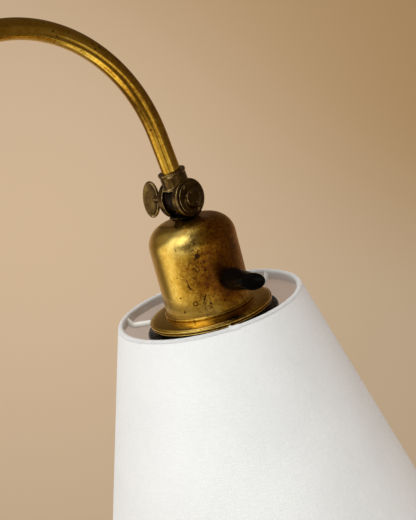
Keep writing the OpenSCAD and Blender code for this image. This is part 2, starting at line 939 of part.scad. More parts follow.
module bulb_glass() {
  wall = 1;
  outer = bulb_profile(0);
  inner = bulb_profile(wall);
  color("#f4f2ea")
    at_head()
      turned(concat(outer, [for (i = [len(inner) - 1 : -1 : 0]) inner[i]]));
}

module bulb_cap() {
  turns = 4;
  low = tip_s + 25.4;
  start = tip_s + 7;
  pitch = (low - 3 - start) / turns;
  r = cap_d / 2;
  outer = [for (i = [0 : turns * 8]) [r - 0.35 + 0.3 * sin(360 * i / 8), start + pitch * i / 8]];
  color("#b9bbbd")
    at_head()
      turned(concat(
        [[r - bulb_crown, start - 2], [r - 1, start - 0.8]],
        outer,
        [[r - 0.1, low - 2], [r - 0.1, low], [r - 0.35, low], [r - 0.35, low - 2]],
        [for (i = [len(outer) - 1 : -1 : 0]) [outer[i][0] - 0.4, outer[i][1]]],
        [[r - 1.6, start - 0.4], [r - bulb_crown, start - 1.4]]));
}

module bulb_insulator() {
  r = cap_d / 2 - bulb_crown - seat;
  color(black)
    at_head()
      turned([[contact_r + seat, tip_s + 1.6], [r - 2.4, tip_s + 2], [r, tip_s + 4.6], [r, tip_s + 6.4],
        [contact_r + seat, tip_s + 6.4]]);
}

module bulb_contact() {
  color("#b9bbbd")
    at_head()
      turned([[0, tip_s], [3, tip_s], [contact_r - 0.4, tip_s + 0.6], [contact_r, tip_s + 1.4],
        [contact_r, tip_s + 4], [0, tip_s + 4]]);
}

// ---- shade ----

module wire_circle(r, s) {
  translate([0, 0, -s])
    rotate_extrude()
      translate([r, 0])
        circle(r = wire_r, $fn = 24);
}

// The end of each spoke, bent up to the top ring, as a bar of diameter d
module spoke_ends(d) {
  rise = spoke_s - shade_s;
  run_out = wire_ring_r - spoke_bend_r;
  for (i = [0 : spokes - 1])
    rotate([0, 0, spoke_turn + i * 360 / spokes])
      translate([spoke_bend_r, 0, -spoke_s])
        rotate([0, atan2(run_out, rise), 0])
          cylinder(d = d, h = norm([rise, run_out]));
}

module shade_carrier() {
  hub_mid = (hub_in_r + hub_out_r) / 2;
  color(white)
    at_head() {
      turned([[hub_in_r, hub_top], [hub_out_r, hub_top], [hub_out_r, ring_s], [hub_in_r, ring_s]]);
      wire_circle(wire_ring_r, shade_s);
      for (i = [0 : spokes - 1])
        rotate([0, 0, spoke_turn + i * 360 / spokes]) {
          translate([hub_mid, 0, -spoke_s])
            rotate([0, 90, 0])
              cylinder(d = spoke_d, h = spoke_bend_r - hub_mid);
          translate([spoke_bend_r, 0, -spoke_s])
            sphere(d = spoke_d + 0.3);
        }
      spoke_ends(spoke_d - 0.4);
    }
}

module shade_bottom_ring() {
  color(white)
    at_head()
      wire_circle(low_ring_r, shade_low_s);
}

module shade_cover() {
  color(white)
    at_head()
      turned([[shade_r, shade_s], [low_r, shade_low_s], [low_r - cover_wall, shade_low_s],
        [shade_r - cover_wall, shade_s]]);
}

// Tape rolled over a ring: a half roll, and a flat leg on the shade's inside.
// way is 1 where the leg runs down from the top ring, -1 where it runs up from the bottom one.
module tape(r, s, way) {
  inner = roll_r - tape_t;
  leg = tape_h * way;
  // radius of the leg follows the slope of the shade
  shift = leg * slope_t;
  at_head()
    turned(concat(
      [for (i = [0 : 10]) let (a = 180 * i / 10) [r + roll_r * cos(a), s - way * roll_r * sin(a)]],
      [[r - roll_r + shift, s + leg], [r - roll_r + tape_t + shift, s + leg]],
      [for (i = [10 : -1 : 0]) let (a = 180 * i / 10) [r + inner * cos(a), s - way * inner * sin(a)]]));
}

module top_tape() {
  // notched where the spokes come in
  color(white)
    difference() {
      tape(wire_ring_r, shade_s, 1);
      at_head()
        spoke_ends(spoke_d);
    }
}

module bottom_tape() {
  color(white)
    tape(low_ring_r, shade_low_s, -1);
}

base_felt();
base_weight();
base_cover();
base_stud();
base_washer();
base_nut();
column_plug();
column_foot();
column();
cord_bush();
clamp_collar();
height_screw();
guide_bush();
guide_clips();
arm_tube();
knuckle_fork();
tilt_nut();
tilt_screw();
friction_washers();
knuckle_tongue();
stem_washer();
stem_nut();
bell();
flange_ring();
lip_ring();
holder_cap();
switch_body();
contact_insert();
centre_contact();
side_contact();
terminal_screws();
thread_shell();
holder_skirt();
shade_ring();
switch_spindle();
switch_key();
bulb_glass();
bulb_cap();
bulb_insulator();
bulb_contact();
shade_carrier();
shade_bottom_ring();
shade_cover();
top_tape();
bottom_tape();
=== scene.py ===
import json
import math
from functools import partial

import bmesh
import bpy
import numpy as np
from mathutils import Matrix, Vector


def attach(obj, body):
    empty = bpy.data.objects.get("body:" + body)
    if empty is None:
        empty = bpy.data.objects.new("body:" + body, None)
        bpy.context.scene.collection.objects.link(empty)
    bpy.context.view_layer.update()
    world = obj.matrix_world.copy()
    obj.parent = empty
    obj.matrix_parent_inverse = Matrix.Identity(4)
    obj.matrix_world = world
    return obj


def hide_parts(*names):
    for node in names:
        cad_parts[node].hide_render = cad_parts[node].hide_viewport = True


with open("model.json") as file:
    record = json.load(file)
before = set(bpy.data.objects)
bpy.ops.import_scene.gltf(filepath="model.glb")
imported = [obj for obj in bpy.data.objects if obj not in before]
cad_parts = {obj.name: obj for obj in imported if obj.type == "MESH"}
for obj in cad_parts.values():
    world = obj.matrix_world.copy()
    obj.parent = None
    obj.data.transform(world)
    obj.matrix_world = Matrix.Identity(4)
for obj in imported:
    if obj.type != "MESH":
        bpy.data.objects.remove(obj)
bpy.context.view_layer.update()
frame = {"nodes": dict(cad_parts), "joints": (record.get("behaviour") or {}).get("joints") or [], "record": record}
nodes = frame["nodes"]
joints = {joint["name"]: joint for joint in frame["joints"]}
print("frame loaded:", len(nodes), "nodes")

# lengths are in millimetres and angles in degrees; meshOf and the materials turn lengths into metres
mm = 0.001

# the knuckle's pivot, how far the head and the tube's end lean, and where the switch key is
lamp = {
    "pivot": np.array(joints["head_tilt"]["pos_m"]) / mm,
    "headTilt": 19.8,
    "endTilt": 27.2,
    "keyAngle": 262,
    "keyDepth": 43.2,
    "keySpin": -20,
}


def unit(vector):
    vector = np.array(vector, float)
    return vector / np.linalg.norm(vector)


def placeOf(origin, axis, side):
    # a place is an origin and three directions: side, the one across, and the axis
    axis = unit(axis)
    side = unit(np.array(side) - axis * np.dot(side, axis))
    return np.array(origin, float), side, np.cross(axis, side), axis


def placed(place, x, y, z):
    # points by how far they lie along a place's side, across it and along its axis
    origin, *ways = place
    return origin + sum(np.asarray(far)[..., None] * way for far, way in zip((x, y, z), ways))


tilt = math.radians(lamp["headTilt"])
end = math.radians(lamp["endTilt"])
worldPlace = placeOf((0, 0, 0), (0, 0, 1), (1, 0, 0))
# down the head's axis from the pivot, its side pointing outwards
headPlace = placeOf(lamp["pivot"], (math.sin(tilt), 0, -math.cos(tilt)), (math.cos(tilt), 0, math.sin(tilt)))
# back up the tube's end from the pivot
tubePlace = placeOf(lamp["pivot"], (-math.sin(end), 0, math.cos(end)), (math.cos(end), 0, math.sin(end)))


def headPoint(depth, radius, angle):
    # points of the head by depth below the pivot, radius, and angle around the axis from outwards
    turn = np.radians(angle)
    return placed(headPlace, radius * np.cos(turn), -radius * np.sin(turn), depth)


def headParts(points):
    # how deep points lie below the pivot, and their way out from the head's axis
    local = points - headPlace[0]
    depth = local @ headPlace[3]
    return depth, local - headPlace[3] * depth[..., None]


def rounded(corners, steps=5):
    # an outline of (x, y, radius): a corner with a radius becomes an arc that meets both its edges
    line = []
    for i, (x, y, radius) in enumerate(corners):
        corner = np.array([x, y], float)
        if radius <= 0:
            line.append(corner)
            continue
        back = np.array(corners[i - 1][:2], float) - corner
        ahead = np.array(corners[(i + 1) % len(corners)][:2], float) - corner
        backLength, aheadLength = np.linalg.norm(back), np.linalg.norm(ahead)
        back, ahead = back / backLength, ahead / aheadLength
        half = math.acos(np.clip(back @ ahead, -1, 1)) / 2
        cut = min(radius / math.tan(half), 0.49 * backLength, 0.49 * aheadLength)
        centre = corner + unit(back + ahead) * cut / math.cos(half)
        first, last = corner + back * cut - centre, corner + ahead * cut - centre
        sweep = math.pi - 2 * half
        t = np.linspace(0, 1, steps + 1)[:, None]
        line.extend(centre + (np.sin((1 - t) * sweep) * first + np.sin(t * sweep) * last) / math.sin(sweep))
    return np.array(line)


def refined(line, step):
    # the same line with points added, so that no stretch is longer than a step
    parts = []
    for first, last in zip(line, np.roll(line, -1, 0)):
        count = max(1, math.ceil(np.linalg.norm(last - first) / step))
        parts.append(first + (last - first) * np.linspace(0, 1, count, endpoint=False)[:, None])
    return np.concatenate(parts)


def arcLine(x, y, radius, start, stop, steps=12):
    t = np.radians(np.linspace(start, stop, steps + 1))
    return np.stack([x + radius * np.cos(t), y + radius * np.sin(t)], 1)


def circleLine(radius, steps=24):
    return arcLine(0, 0, radius, 0, 360, steps)[:-1]


def aroundTurn(steps):
    return np.linspace(0, 2 * np.pi, steps, endpoint=False)[:, None]


def turned(line, place, steps=128):
    # a line of (radius, height) carried round a place's axis: p(u, v) = axis h(v) + r(v) (cos u, sin u)
    u = aroundTurn(steps)
    return placed(place, line[:, 0] * np.cos(u), line[:, 0] * np.sin(u), line[None, :, 1])


def carried(outline, path, up):
    # an outline of (a, b) along a path: a runs along up crossed with the path, b along the third direction
    forward = np.gradient(path, axis=0)
    forward /= np.linalg.norm(forward, axis=1)[:, None]
    sideways = np.cross(np.broadcast_to(up, forward.shape), forward)
    sideways /= np.linalg.norm(sideways, axis=1)[:, None]
    other = np.cross(forward, sideways)
    a, b = outline[None, :, 0, None], outline[None, :, 1, None]
    return path[:, None] + sideways[:, None] * a + other[:, None] * b


def capped(grid):
    # closes both ends of a carried outline with a middle point
    first, last = (np.broadcast_to(row.mean(1, keepdims=True), row.shape) for row in (grid[:1], grid[-1:]))
    return np.concatenate([first, grid, last])


def smoothed(mesh, sharp=35):
    mesh.polygons.foreach_set("use_smooth", np.ones(len(mesh.polygons), bool))
    mesh.set_sharp_from_angle(angle=math.radians(sharp))


def meshOf(name, grids, wrapRows=True, wrapColumns=True, cloth=None, sharp=35):
    # one mesh from point grids (rows, columns, 3), each cell a quad; a side that wraps joins its last line
    # to its first. cloth is the (width, length) of the map over rows and columns
    points, quads, maps, offset = [], [], [], 0
    for grid in grids:
        rows, columns = grid.shape[:2]
        cells = rows - (not wrapRows), columns - (not wrapColumns)
        i, j = (index.ravel() for index in np.indices(cells))
        corners = np.stack([i, j, i + 1, j, i + 1, j + 1, i, j + 1], 1).reshape(-1, 4, 2)
        quads.append(corners[..., 0] % rows * columns + corners[..., 1] % columns + offset)
        maps.append(corners / cells)
        points.append(grid.reshape(-1, 3))
        offset += rows * columns
    mesh = bpy.data.meshes.new(name)
    mesh.from_pydata((np.concatenate(points) * mm).tolist(), [], np.concatenate(quads).tolist())
    if cloth is not None:
        layer = mesh.uv_layers.new(name="cloth")
        sides = np.concatenate(maps).reshape(-1, 2) * np.array(cloth) * mm
        layer.data.foreach_set("uv", sides.astype(np.float32).ravel())
    # points within a micrometre are one
    work = bmesh.new()
    work.from_mesh(mesh)
    bmesh.ops.remove_doubles(work, verts=work.verts, dist=1e-6)
    bmesh.ops.dissolve_degenerate(work, edges=work.edges, dist=1e-7)
    bmesh.ops.recalc_face_normals(work, faces=work.faces)
    work.to_mesh(mesh)
    work.free()
    smoothed(mesh, sharp)
    piece = bpy.data.objects.new(name, mesh)
    bpy.context.scene.collection.objects.link(piece)
    return piece


def joinPieces(first, *others):
    # takes the other pieces' meshes into the first one's
    work = bmesh.new()
    for piece in (first, *others):
        work.from_mesh(piece.data)
    work.to_mesh(first.data)
    work.free()
    for piece in others:
        data = piece.data
        bpy.data.objects.remove(piece)
        bpy.data.meshes.remove(data)
    smoothed(first.data)


def cutHole(piece, place, radius, low, high):
    # a round hole along a place's axis
    line = np.array([[0, low], [radius, low], [radius, high], [0, high]])
    cutter = meshOf("cutter", [turned(line, place, 32)], wrapColumns=False)
    cut = piece.modifiers.new("cut", "BOOLEAN")
    cut.object, cut.operation, cut.solver = cutter, "DIFFERENCE", "EXACT"
    bpy.context.view_layer.objects.active = piece
    bpy.ops.object.modifier_apply(modifier="cut")
    bpy.data.objects.remove(cutter)


def fit(piece, body, slot, cadNode, *materials):
    # gives a piece its body and its finish, the slot's or its own, and hides the node that it stands for
    for material in materials or (finishes[slot],):
        piece.data.materials.append(material)
    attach(piece, body)
    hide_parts(cadNode)


def pick(table, names):
    return [table[name] for name in names.split()]


def setInput(socket, value):
    # links a node's output, or sets a value; a colour gets its alpha
    if isinstance(value, bpy.types.NodeSocket):
        socket.id_data.links.new(value, socket)
    elif socket.type == "RGBA":
        socket.default_value = (*value, 1)
    else:
        socket.default_value = value


def node(tree, kind, inputs=None, **settings):
    # adds a node, sets it, and gives each input a value or a link
    made = tree.nodes.new(kind)
    for key, value in settings.items():
        setattr(made, key, value)
    for key, value in (inputs or {}).items():
        setInput(made.inputs[key], value)
    return made


def maths(operation, *values, clamp=False):
    tree = next(value.id_data for value in values if isinstance(value, bpy.types.NodeSocket))
    made = node(tree, "ShaderNodeMath", dict(enumerate(values)), operation=operation, use_clamp=clamp)
    return made.outputs[0]


plus, minus, times, most = (partial(maths, name) for name in ("ADD", "SUBTRACT", "MULTIPLY", "MAXIMUM"))


def noise(where, size, detail=4.0, roughness=0.55, distortion=0.0):
    # size is the width of a blotch
    return node(where.id_data, "ShaderNodeTexNoise", {"Vector": where, "Scale": 1 / (size * mm),
                "Detail": detail, "Roughness": roughness, "Distortion": distortion}).outputs["Fac"]


def spread(value, low, high, outLow=0.0, outHigh=1.0):
    # maps low..high smoothly onto outLow..outHigh
    return node(value.id_data, "ShaderNodeMapRange", {"Value": value, "From Min": low, "From Max": high,
                "To Min": outLow, "To Max": outHigh}, interpolation_type="SMOOTHSTEP").outputs["Result"]


def ramp(value, stops):
    made = node(value.id_data, "ShaderNodeValToRGB", {"Fac": value})
    elements = made.color_ramp.elements
    while len(elements) < len(stops):
        elements.new(0.5)
    for element, (place, colour) in zip(elements, stops):
        element.position = place
        element.color = (*colour, 1)
    return made.outputs["Color"]


def mixed(share, first, second):
    return node(share.id_data, "ShaderNodeMix", {0: share, 6: first, 7: second}, data_type="RGBA").outputs[2]


def bumped(height, depth):
    made = node(height.id_data, "ShaderNodeBump", {"Height": height, "Distance": depth * mm})
    return made.outputs["Normal"]


def startMaterial(name):
    material = bpy.data.materials.new(name)
    material.use_nodes = True
    tree = material.node_tree
    tree.nodes.clear()
    shader = node(tree, "ShaderNodeBsdfPrincipled")
    node(tree, "ShaderNodeOutputMaterial", {"Surface": shader.outputs[0]})
    return material, tree, shader, node(tree, "ShaderNodeTexCoord").outputs["Object"]


shaderNames = {"colour": "Base Color", "metal": "Metallic", "rough": "Roughness", "normal": "Normal",
               "coat": "Coat Weight", "coatRough": "Coat Roughness", "specular": "Specular IOR Level",
               "sheen": "Sheen Weight", "sheenRough": "Sheen Roughness", "under": "Subsurface Weight",
               "underRadius": "Subsurface Radius", "underScale": "Subsurface Scale"}


def setShader(shader, **values):
    for key, value in values.items():
        setInput(shader.inputs[shaderNames[key]], value)


def nearness(where, centre, radius, soft=0.25):
    # 1 within radius of a point, falling to 0 over a soft edge
    gap = node(where.id_data, "ShaderNodeVectorMath", {0: where, 1: tuple(np.array(centre) * mm)},
               operation="DISTANCE").outputs["Value"]
    return spread(gap, radius * (1 - soft) * mm, radius * (1 + soft) * mm, 1.0, 0.0)


def lobes(where, places):
    # the strongest of some soft round areas, each a (centre, radius, share)
    strongest = 0.0
    for centre, radius, share in places:
        strongest = most(times(nearness(where, centre, radius, 0.8), share), strongest)
    return strongest


def agedBrass(name, look):
    # lacquered brass gone brown in blotches, bare and reddish in places, with pits and its piece's marks, with
    # painted highlights and painted shade laid over its tone
    material, tree, shader, where = startMaterial(name)
    large = noise(where, look["blotch"], 5.0, 0.6, 0.4)
    small = noise(where, look["blotch"] / 5, 4.0, 0.65)
    grain = noise(where, look["grain"], 3.0, 0.7)
    evenGrain = minus(grain, 0.5)
    tone = look["base"]
    for layer, amount in ((large, look["cloudy"]), (small, look["mottled"]), (grain, look["grainy"])):
        tone = plus(times(minus(layer, 0.5), amount), tone)
    # painted shade: the first lobes darken the tone on the side away from the lamp, over some patina; painted
    # highlights: the second lobes lighten it where the lamp's highlights fall
    tone = plus(minus(tone, lobes(where, look["patinaAndShade"])), lobes(where, look["paintedHighlights"]))
    worn = spread(noise(where, look["bareSize"], 6.0, 0.78, 1.0), *look["bareEdge"])
    worn = times(times(worn, look["bareShare"]), lobes(where, look["bareAreas"]))
    # pits: the middles of a few cells, chosen by the cell's own random colour, in denser and thinner areas
    gap = look["pitGap"]
    cells = node(tree, "ShaderNodeTexVoronoi", {"Vector": where, "Scale": 1 / (gap * mm), "Randomness": 1.0})
    chosen = node(tree, "ShaderNodeSeparateColor", {"Color": cells.outputs["Color"]}).outputs[0]
    size = spread(chosen, 1 - look["pitShare"], 1.0, 0.0, look["pitSize"] / gap)
    size = times(size, spread(noise(where, 8 * gap, 1.0), *look["pitAreas"]))
    pits = maths("GREATER_THAN", size, plus(cells.outputs["Distance"], times(evenGrain, look["pitRagged"])))
    for centre, radius, inner in look["marks"]:
        spot = nearness(where, centre, radius)
        if inner:
            spot = minus(spot, nearness(where, centre, inner), clamp=True)
        pits = most(pits, spot)
    colour = mixed(worn, ramp(tone, look["tones"]), look["bare"])
    colour = mixed(times(pits, look["pitDark"]), colour, look["pit"])
    rough = spread(minus(tone, times(worn, look["bareDull"])), 0.2, 0.8, *look["rough"][::-1])
    rough = plus(rough, times(pits, look["pitDull"]), clamp=True)
    height = plus(times(grain, look["grainRelief"]), times(large, look["dents"]))
    height = minus(height, times(pits, look["pitRelief"]))
    setShader(shader, colour=colour, metal=1.0, rough=rough, normal=bumped(height, look["relief"]),
              coat=look["coat"], coatRough=look["coatRough"])
    return material


def darkBronze(name, look):
    # brown patina with a brassy wear on the edges, which Pointiness finds
    material, tree, shader, where = startMaterial(name)
    large = noise(where, look["blotch"], 5.0, 0.6)
    grain = noise(where, look["grain"], 3.0, 0.7)
    tone = plus(times(large, 0.7), times(grain, 0.3))
    edge = node(tree, "ShaderNodeNewGeometry").outputs["Pointiness"]
    worn = spread(plus(edge, times(minus(grain, 0.5), look["wearRagged"])), *look["wear"])
    setShader(shader, colour=mixed(times(worn, look["wornShare"]), ramp(tone, look["tones"]), look["worn"]),
              metal=1.0, rough=spread(tone, 0.3, 0.7, *look["rough"][::-1]),
              normal=bumped(plus(times(grain, 0.5), times(large, 0.5)), look["relief"]),
              coat=look["coat"], coatRough=look["coatRough"])
    return material


def plainFinish(name, low, high, rough, size, metal=0.0, depth=0.03, **more):
    # two close tones, a varied gloss and a fine bump: for small and hidden pieces
    material, tree, shader, where = startMaterial(name)
    large = noise(where, size, 4.0, 0.6)
    fine = noise(where, size / 12, 3.0, 0.6)
    tone = plus(times(large, 0.65), times(fine, 0.35))
    setShader(shader, colour=ramp(tone, [(0.3, low), (0.7, high)]), metal=metal,
              rough=spread(tone, 0.25, 0.75, *rough), normal=bumped(fine, depth), **more)
    return material


def headSpots(*spots):
    # areas of the head, each a (depth, radius, angle) with a size and a share
    return [(headPoint(*spot[:3]), *spot[3:]) for spot in spots]


# marks on the bell by depth below the pivot and angle around the head: dots with a radius, one of them a ring
# with a clear inside, and strokes from one place to another
bellRadius = 23.4
bellDots = [(26.6, -130.8, 1.3, 0), (27.8, -134.0, 0.5, 0), (50.9, -148.2, 1.5, 0.8), (52.4, -129.4, 0.6, 0),
            (34.6, -125.8, 0.6, 0), (30.4, -124.6, 0.5, 0), (53.1, -110.8, 0.55, 0), (44.0, -128.0, 0.4, 0),
            (19.1, -160.6, 0.5, 0), (20.8, -156.0, 0.35, 0), (21.6, -155.6, 0.3, 0), (36.0, -164.0, 0.3, 0)]
bellStrokes = [((37.6, -151.6), (41.0, -151.2), 0.28), ((41.0, -151.2), (42.9, -149.4), 0.48),
               ((47.4, -132.6), (49.9, -136.2), 0.42)]
for first, last, size in bellStrokes:
    bellDots += [(depth, angle, size, 0) for depth, angle in np.linspace(first, last, 6)]
bellLook = {
    # how much the blotches of three sizes change the tone, and the brass from deep to clear
    "base": 0.66, "blotch": 10, "grain": 0.7, "cloudy": 0.34, "mottled": 0.46, "grainy": 0.30,
    "tones": [(0.12, (0.105, 0.030, 0.002)), (0.34, (0.36, 0.140, 0.006)), (0.56, (0.66, 0.395, 0.044)),
              (0.84, (0.90, 0.665, 0.180))],
    # painted highlights: clearer brass on the shoulder, the left side and the foot, where the lamp's highlights
    # fall
    "paintedHighlights": headSpots((18, 21, -146, 9, 0.42), (30, 24, -164, 15, 0.20), (55, 24, -128, 7, 0.12)),
    # painted shade over some patina: darker brown on the side away from the lamp and along the far left edge
    "patinaAndShade": headSpots((35, 24, -112, 15, 0.50), (26, 24, -86, 20, 0.40), (44, 24, -96, 14, 0.50),
                         (40, 24, -66, 16, 0.36), (13, 10, -60, 14, 0.36), (35, 24, -136, 13, 0.44),
                         (30, 24, -176, 14, 0.20)),
    "bare": (0.13, 0.032, 0.006), "bareSize": 2.2, "bareEdge": (0.49, 0.57), "bareShare": 0.95,
    "bareAreas": headSpots((21, 24, -124, 9, 1.0), (34, 24, -130, 9, 1.0), (26, 24, -104, 12, 0.9),
                           (42, 24, -122, 12, 0.9), (15, 16, -100, 10, 0.9), (50, 24, -132, 8, 0.8),
                           (50, 24, -84, 12, 0.8), (30, 24, 60, 18, 0.5)),
    "pit": (0.040, 0.011, 0.006), "pitGap": 2.6, "pitSize": 0.6, "pitShare": 0.30, "pitDark": 0.88,
    "pitAreas": (0.40, 0.58, 0.25, 1.0), "pitRagged": 0.12,
    "marks": headSpots(*((depth, bellRadius, *rest) for depth, *rest in bellDots)),
    "rough": (0.22, 0.38), "bareDull": 0.2, "pitDull": 0.3, "coat": 0.08, "coatRough": 0.15,
    "relief": 0.12, "dents": 0.55, "grainRelief": 0.12, "pitRelief": 0.8,
}
ringLook = {
    **bellLook, "base": 0.78, "blotch": 12, "pitShare": 0.16, "dents": 0.4, "rough": (0.15, 0.26),
    "marks": (), "paintedHighlights": (), "bareAreas": headSpots((62, 32, -105, 20, 0.8)),
    # painted shade over some patina: the saucer darker on its side away from the lamp, and on its far left, where
    # it mirrors the dark room, a painted reflection
    "patinaAndShade": headSpots((62, 32, -70, 20, 0.26), (60, 30, 165, 14, 0.16)),
}
tubeLook = {
    **bellLook, "base": 0.57, "blotch": 9, "marks": (), "paintedHighlights": (), "pitGap": 2.4, "pitSize": 0.7,
    "pitShare": 0.36, "dents": 0.25, "rough": (0.09, 0.18),
    "bareAreas": headSpots((-70, 6, 0, 40, 0.5)), "patinaAndShade": headSpots((-60, 6, 0, 30, 0.10)),
}
standLook = {
    **bellLook, "base": 0.64, "blotch": 45, "grain": 1.4, "marks": (), "paintedHighlights": (), "pitGap": 11,
    "pitSize": 1.2, "pitShare": 0.12, "dents": 0.4, "rough": (0.17, 0.30), "bareSize": 12,
    "bareAreas": [((70, 50, 20), 60, 0.5), ((-50, -80, 20), 50, 0.5)], "patinaAndShade": (),
}
bronzeLook = {
    "blotch": 6, "grain": 0.6,
    "tones": [(0.32, (0.034, 0.015, 0.004)), (0.5, (0.095, 0.052, 0.012)), (0.68, (0.26, 0.170, 0.040))],
    "wear": (0.510, 0.555), "wearRagged": 0.06, "worn": (0.80, 0.60, 0.28), "wornShare": 0.8,
    "rough": (0.13, 0.24), "relief": 0.06, "coat": 0.15, "coatRough": 0.3,
}
# the tongue nearly black, with less wear on its edges: painted shade of the slot between the ears and under them,
# over its dark patina
slotShadeLook = {
    **bronzeLook, "wear": (0.56, 0.66), "rough": (0.30, 0.46),
    "tones": [(0.28, (0.004, 0.002, 0.001)), (0.5, (0.012, 0.007, 0.004)), (0.72, (0.035, 0.020, 0.010))],
}

def feltFinish():
    # short wool fibres: noise stretched in two directions over a mottled green
    material, tree, shader, where = startMaterial("greenFelt")
    layers = []
    for lengths in ((0.4, 2.5, 2.5), (2.5, 0.4, 2.5)):
        stretched = node(tree, "ShaderNodeMapping", {"Vector": where, "Scale": tuple(1 / l for l in lengths)})
        layers.append(noise(stretched.outputs[0], 1, 3.0, 0.7))
    fibres = most(*layers)
    tone = plus(times(fibres, 0.7), times(noise(where, 20), 0.3))
    setShader(shader, colour=ramp(tone, [(0.35, (0.030, 0.058, 0.036)), (0.7, (0.085, 0.14, 0.092))]),
              rough=0.95, normal=bumped(fibres, 0.4), sheen=0.5, sheenRough=0.5)
    return material


def clothFinish(name, look):
    # plain weave on the piece's own map: warp and weft waves, uneven threads, and a slowly varying white
    material, tree, shader, where = startMaterial(name)
    cloth = node(tree, "ShaderNodeUVMap", uv_map="cloth").outputs["UV"]
    split = node(tree, "ShaderNodeSeparateXYZ", {"Vector": cloth})
    threads, slubs = [], []
    for axis, scale in (("X", (0.15, 1.0, 1.0)), ("Y", (1.0, 0.15, 1.0))):
        wander = times(noise(cloth, 4, 2.0), 0.8)
        phase = plus(times(split.outputs[axis], 2 * math.pi / (look["thread"] * mm)), wander)
        threads.append(maths("SINE", phase))
        stretched = node(tree, "ShaderNodeMapping", {"Vector": cloth, "Scale": scale}).outputs[0]
        slubs.append(noise(stretched, 0.9, 2.0))
    weave, slub = times(*threads), plus(*slubs)
    tone = plus(times(noise(where, 50, 3.0, 0.5), 0.5), times(slub, 0.25))
    setShader(shader, colour=ramp(tone, [(0.35, look["shade"]), (0.65, look["light"])]), rough=look["rough"],
              under=look["through"], underRadius=(1.0, 1.0, 1.0), underScale=3 * mm, specular=0.3,
              sheen=0.25, sheenRough=0.4, normal=bumped(plus(times(weave, 0.4), slub), look["relief"]))
    return material


# the finish of each material slot
finishes = {
    "aged_brass": agedBrass("bellBrass", bellLook),
    "ring_brass": agedBrass("ringBrass", ringLook),
    "tube_brass": agedBrass("tubeBrass", tubeLook),
    "brass": agedBrass("standBrass", standLook),
    "dark_bronze": darkBronze("patina", bronzeLook),
    "black_resin": plainFinish("blackResin", (0.0012, 0.0010, 0.0009), (0.0040, 0.0030, 0.0026),
                               (0.05, 0.09), 6, depth=0.006, specular=0.06),
    "steel": plainFinish("zincSteel", (0.36, 0.37, 0.38), (0.56, 0.57, 0.57), (0.28, 0.45), 6, metal=1.0),
    "cap_metal": plainFinish("nickel", (0.55, 0.55, 0.54), (0.74, 0.74, 0.72), (0.16, 0.30), 10, metal=1.0),
    "spring_bronze": plainFinish("springBronze", (0.46, 0.25, 0.10), (0.66, 0.42, 0.18), (0.25, 0.4), 8,
                                 metal=1.0),
    "ceramic": plainFinish("glazedClay", (0.66, 0.63, 0.55), (0.80, 0.77, 0.69), (0.18, 0.3), 10, coat=0.5),
    "fibre": plainFinish("redFibre", (0.20, 0.075, 0.035), (0.33, 0.14, 0.07), (0.6, 0.8), 4),
    "cast_iron": plainFinish("castIron", (0.035, 0.035, 0.038), (0.085, 0.083, 0.08), (0.55, 0.8), 12,
                             metal=0.6, depth=0.4),
    "white_enamel": plainFinish("enamel", (0.84, 0.82, 0.76), (0.92, 0.91, 0.87), (0.28, 0.42), 12, coat=0.3,
                                depth=0.04),
    "opal_glass": plainFinish("opalGlass", (0.82, 0.80, 0.75), (0.90, 0.89, 0.85), (0.12, 0.2), 20,
                              depth=0.005, coat=0.6, coatRough=0.06, under=0.2),
    "felt": feltFinish(),
    "shade_tape": clothFinish("hemCloth", {
        "thread": 0.8, "shade": (0.92, 0.92, 0.915), "light": (0.98, 0.985, 0.99),
        "rough": 0.85, "relief": 0.12, "through": 0.5}),
}
# and the finishes of single pieces
# painted shade: the tongue's nearly black finish
slotShadePatina = darkBronze("slotShadePatina", slotShadeLook)
dullResin = plainFinish("dullResin", (0.003, 0.0026, 0.0022), (0.009, 0.0075, 0.0065), (0.20, 0.32), 8,
                        depth=0.01, specular=0.18)
whiteCloth = clothFinish("whiteCloth", {
    "thread": 1.1, "shade": (0.81, 0.815, 0.82), "light": (0.90, 0.905, 0.91),
    "rough": 0.82, "relief": 0.12, "through": 0.0})
# painted warm light: the lining's pink stands for the room's warm light falling on a pale lining
warmLitLining = clothFinish("warmLitLining", {
    "thread": 1.6, "shade": (0.88, 0.73, 0.635), "light": (0.95, 0.82, 0.73),
    "rough": 0.7, "relief": 0.03, "through": 1.0})
print("materials made")

# the camera stands where the photographer stood
camera = {
    "fromPivot": (-325.20, -357.83, -22.43),
    "right": (0.72041, -0.69354, -0.00325),
    "up": (0.01666, 0.01261, 0.99978),
    "lens": 64.09,
    "sensor": 36.0,
    "nearest": 20,
}


def addCamera():
    data = bpy.data.cameras.new("photoCamera")
    data.sensor_fit = "VERTICAL"
    data.sensor_height = camera["sensor"]
    data.lens = camera["lens"]
    data.clip_start = camera["nearest"] * mm
    eye = bpy.data.objects.new("photoCamera", data)
    right, up = unit(camera["right"]), unit(camera["up"])
    turn = Matrix((right, up, np.cross(right, up))).transposed().to_4x4()
    eye.matrix_world = Matrix.Translation(Vector((lamp["pivot"] + camera["fromPivot"]) * mm)) @ turn
    bpy.context.scene.collection.objects.link(eye)
    bpy.context.scene.camera = eye


addCamera()

crook = {
    "radius": 5.0, "wall": 1.0, "sides": 40,
    "bend": 78.4, "bendHeight": 1297, "low": 623,
    "endGap": 9.8,   # the tube's end above the pivot, inside the collar
    "straightRows": 60, "bendRows": 110, "endRows": 14,
}


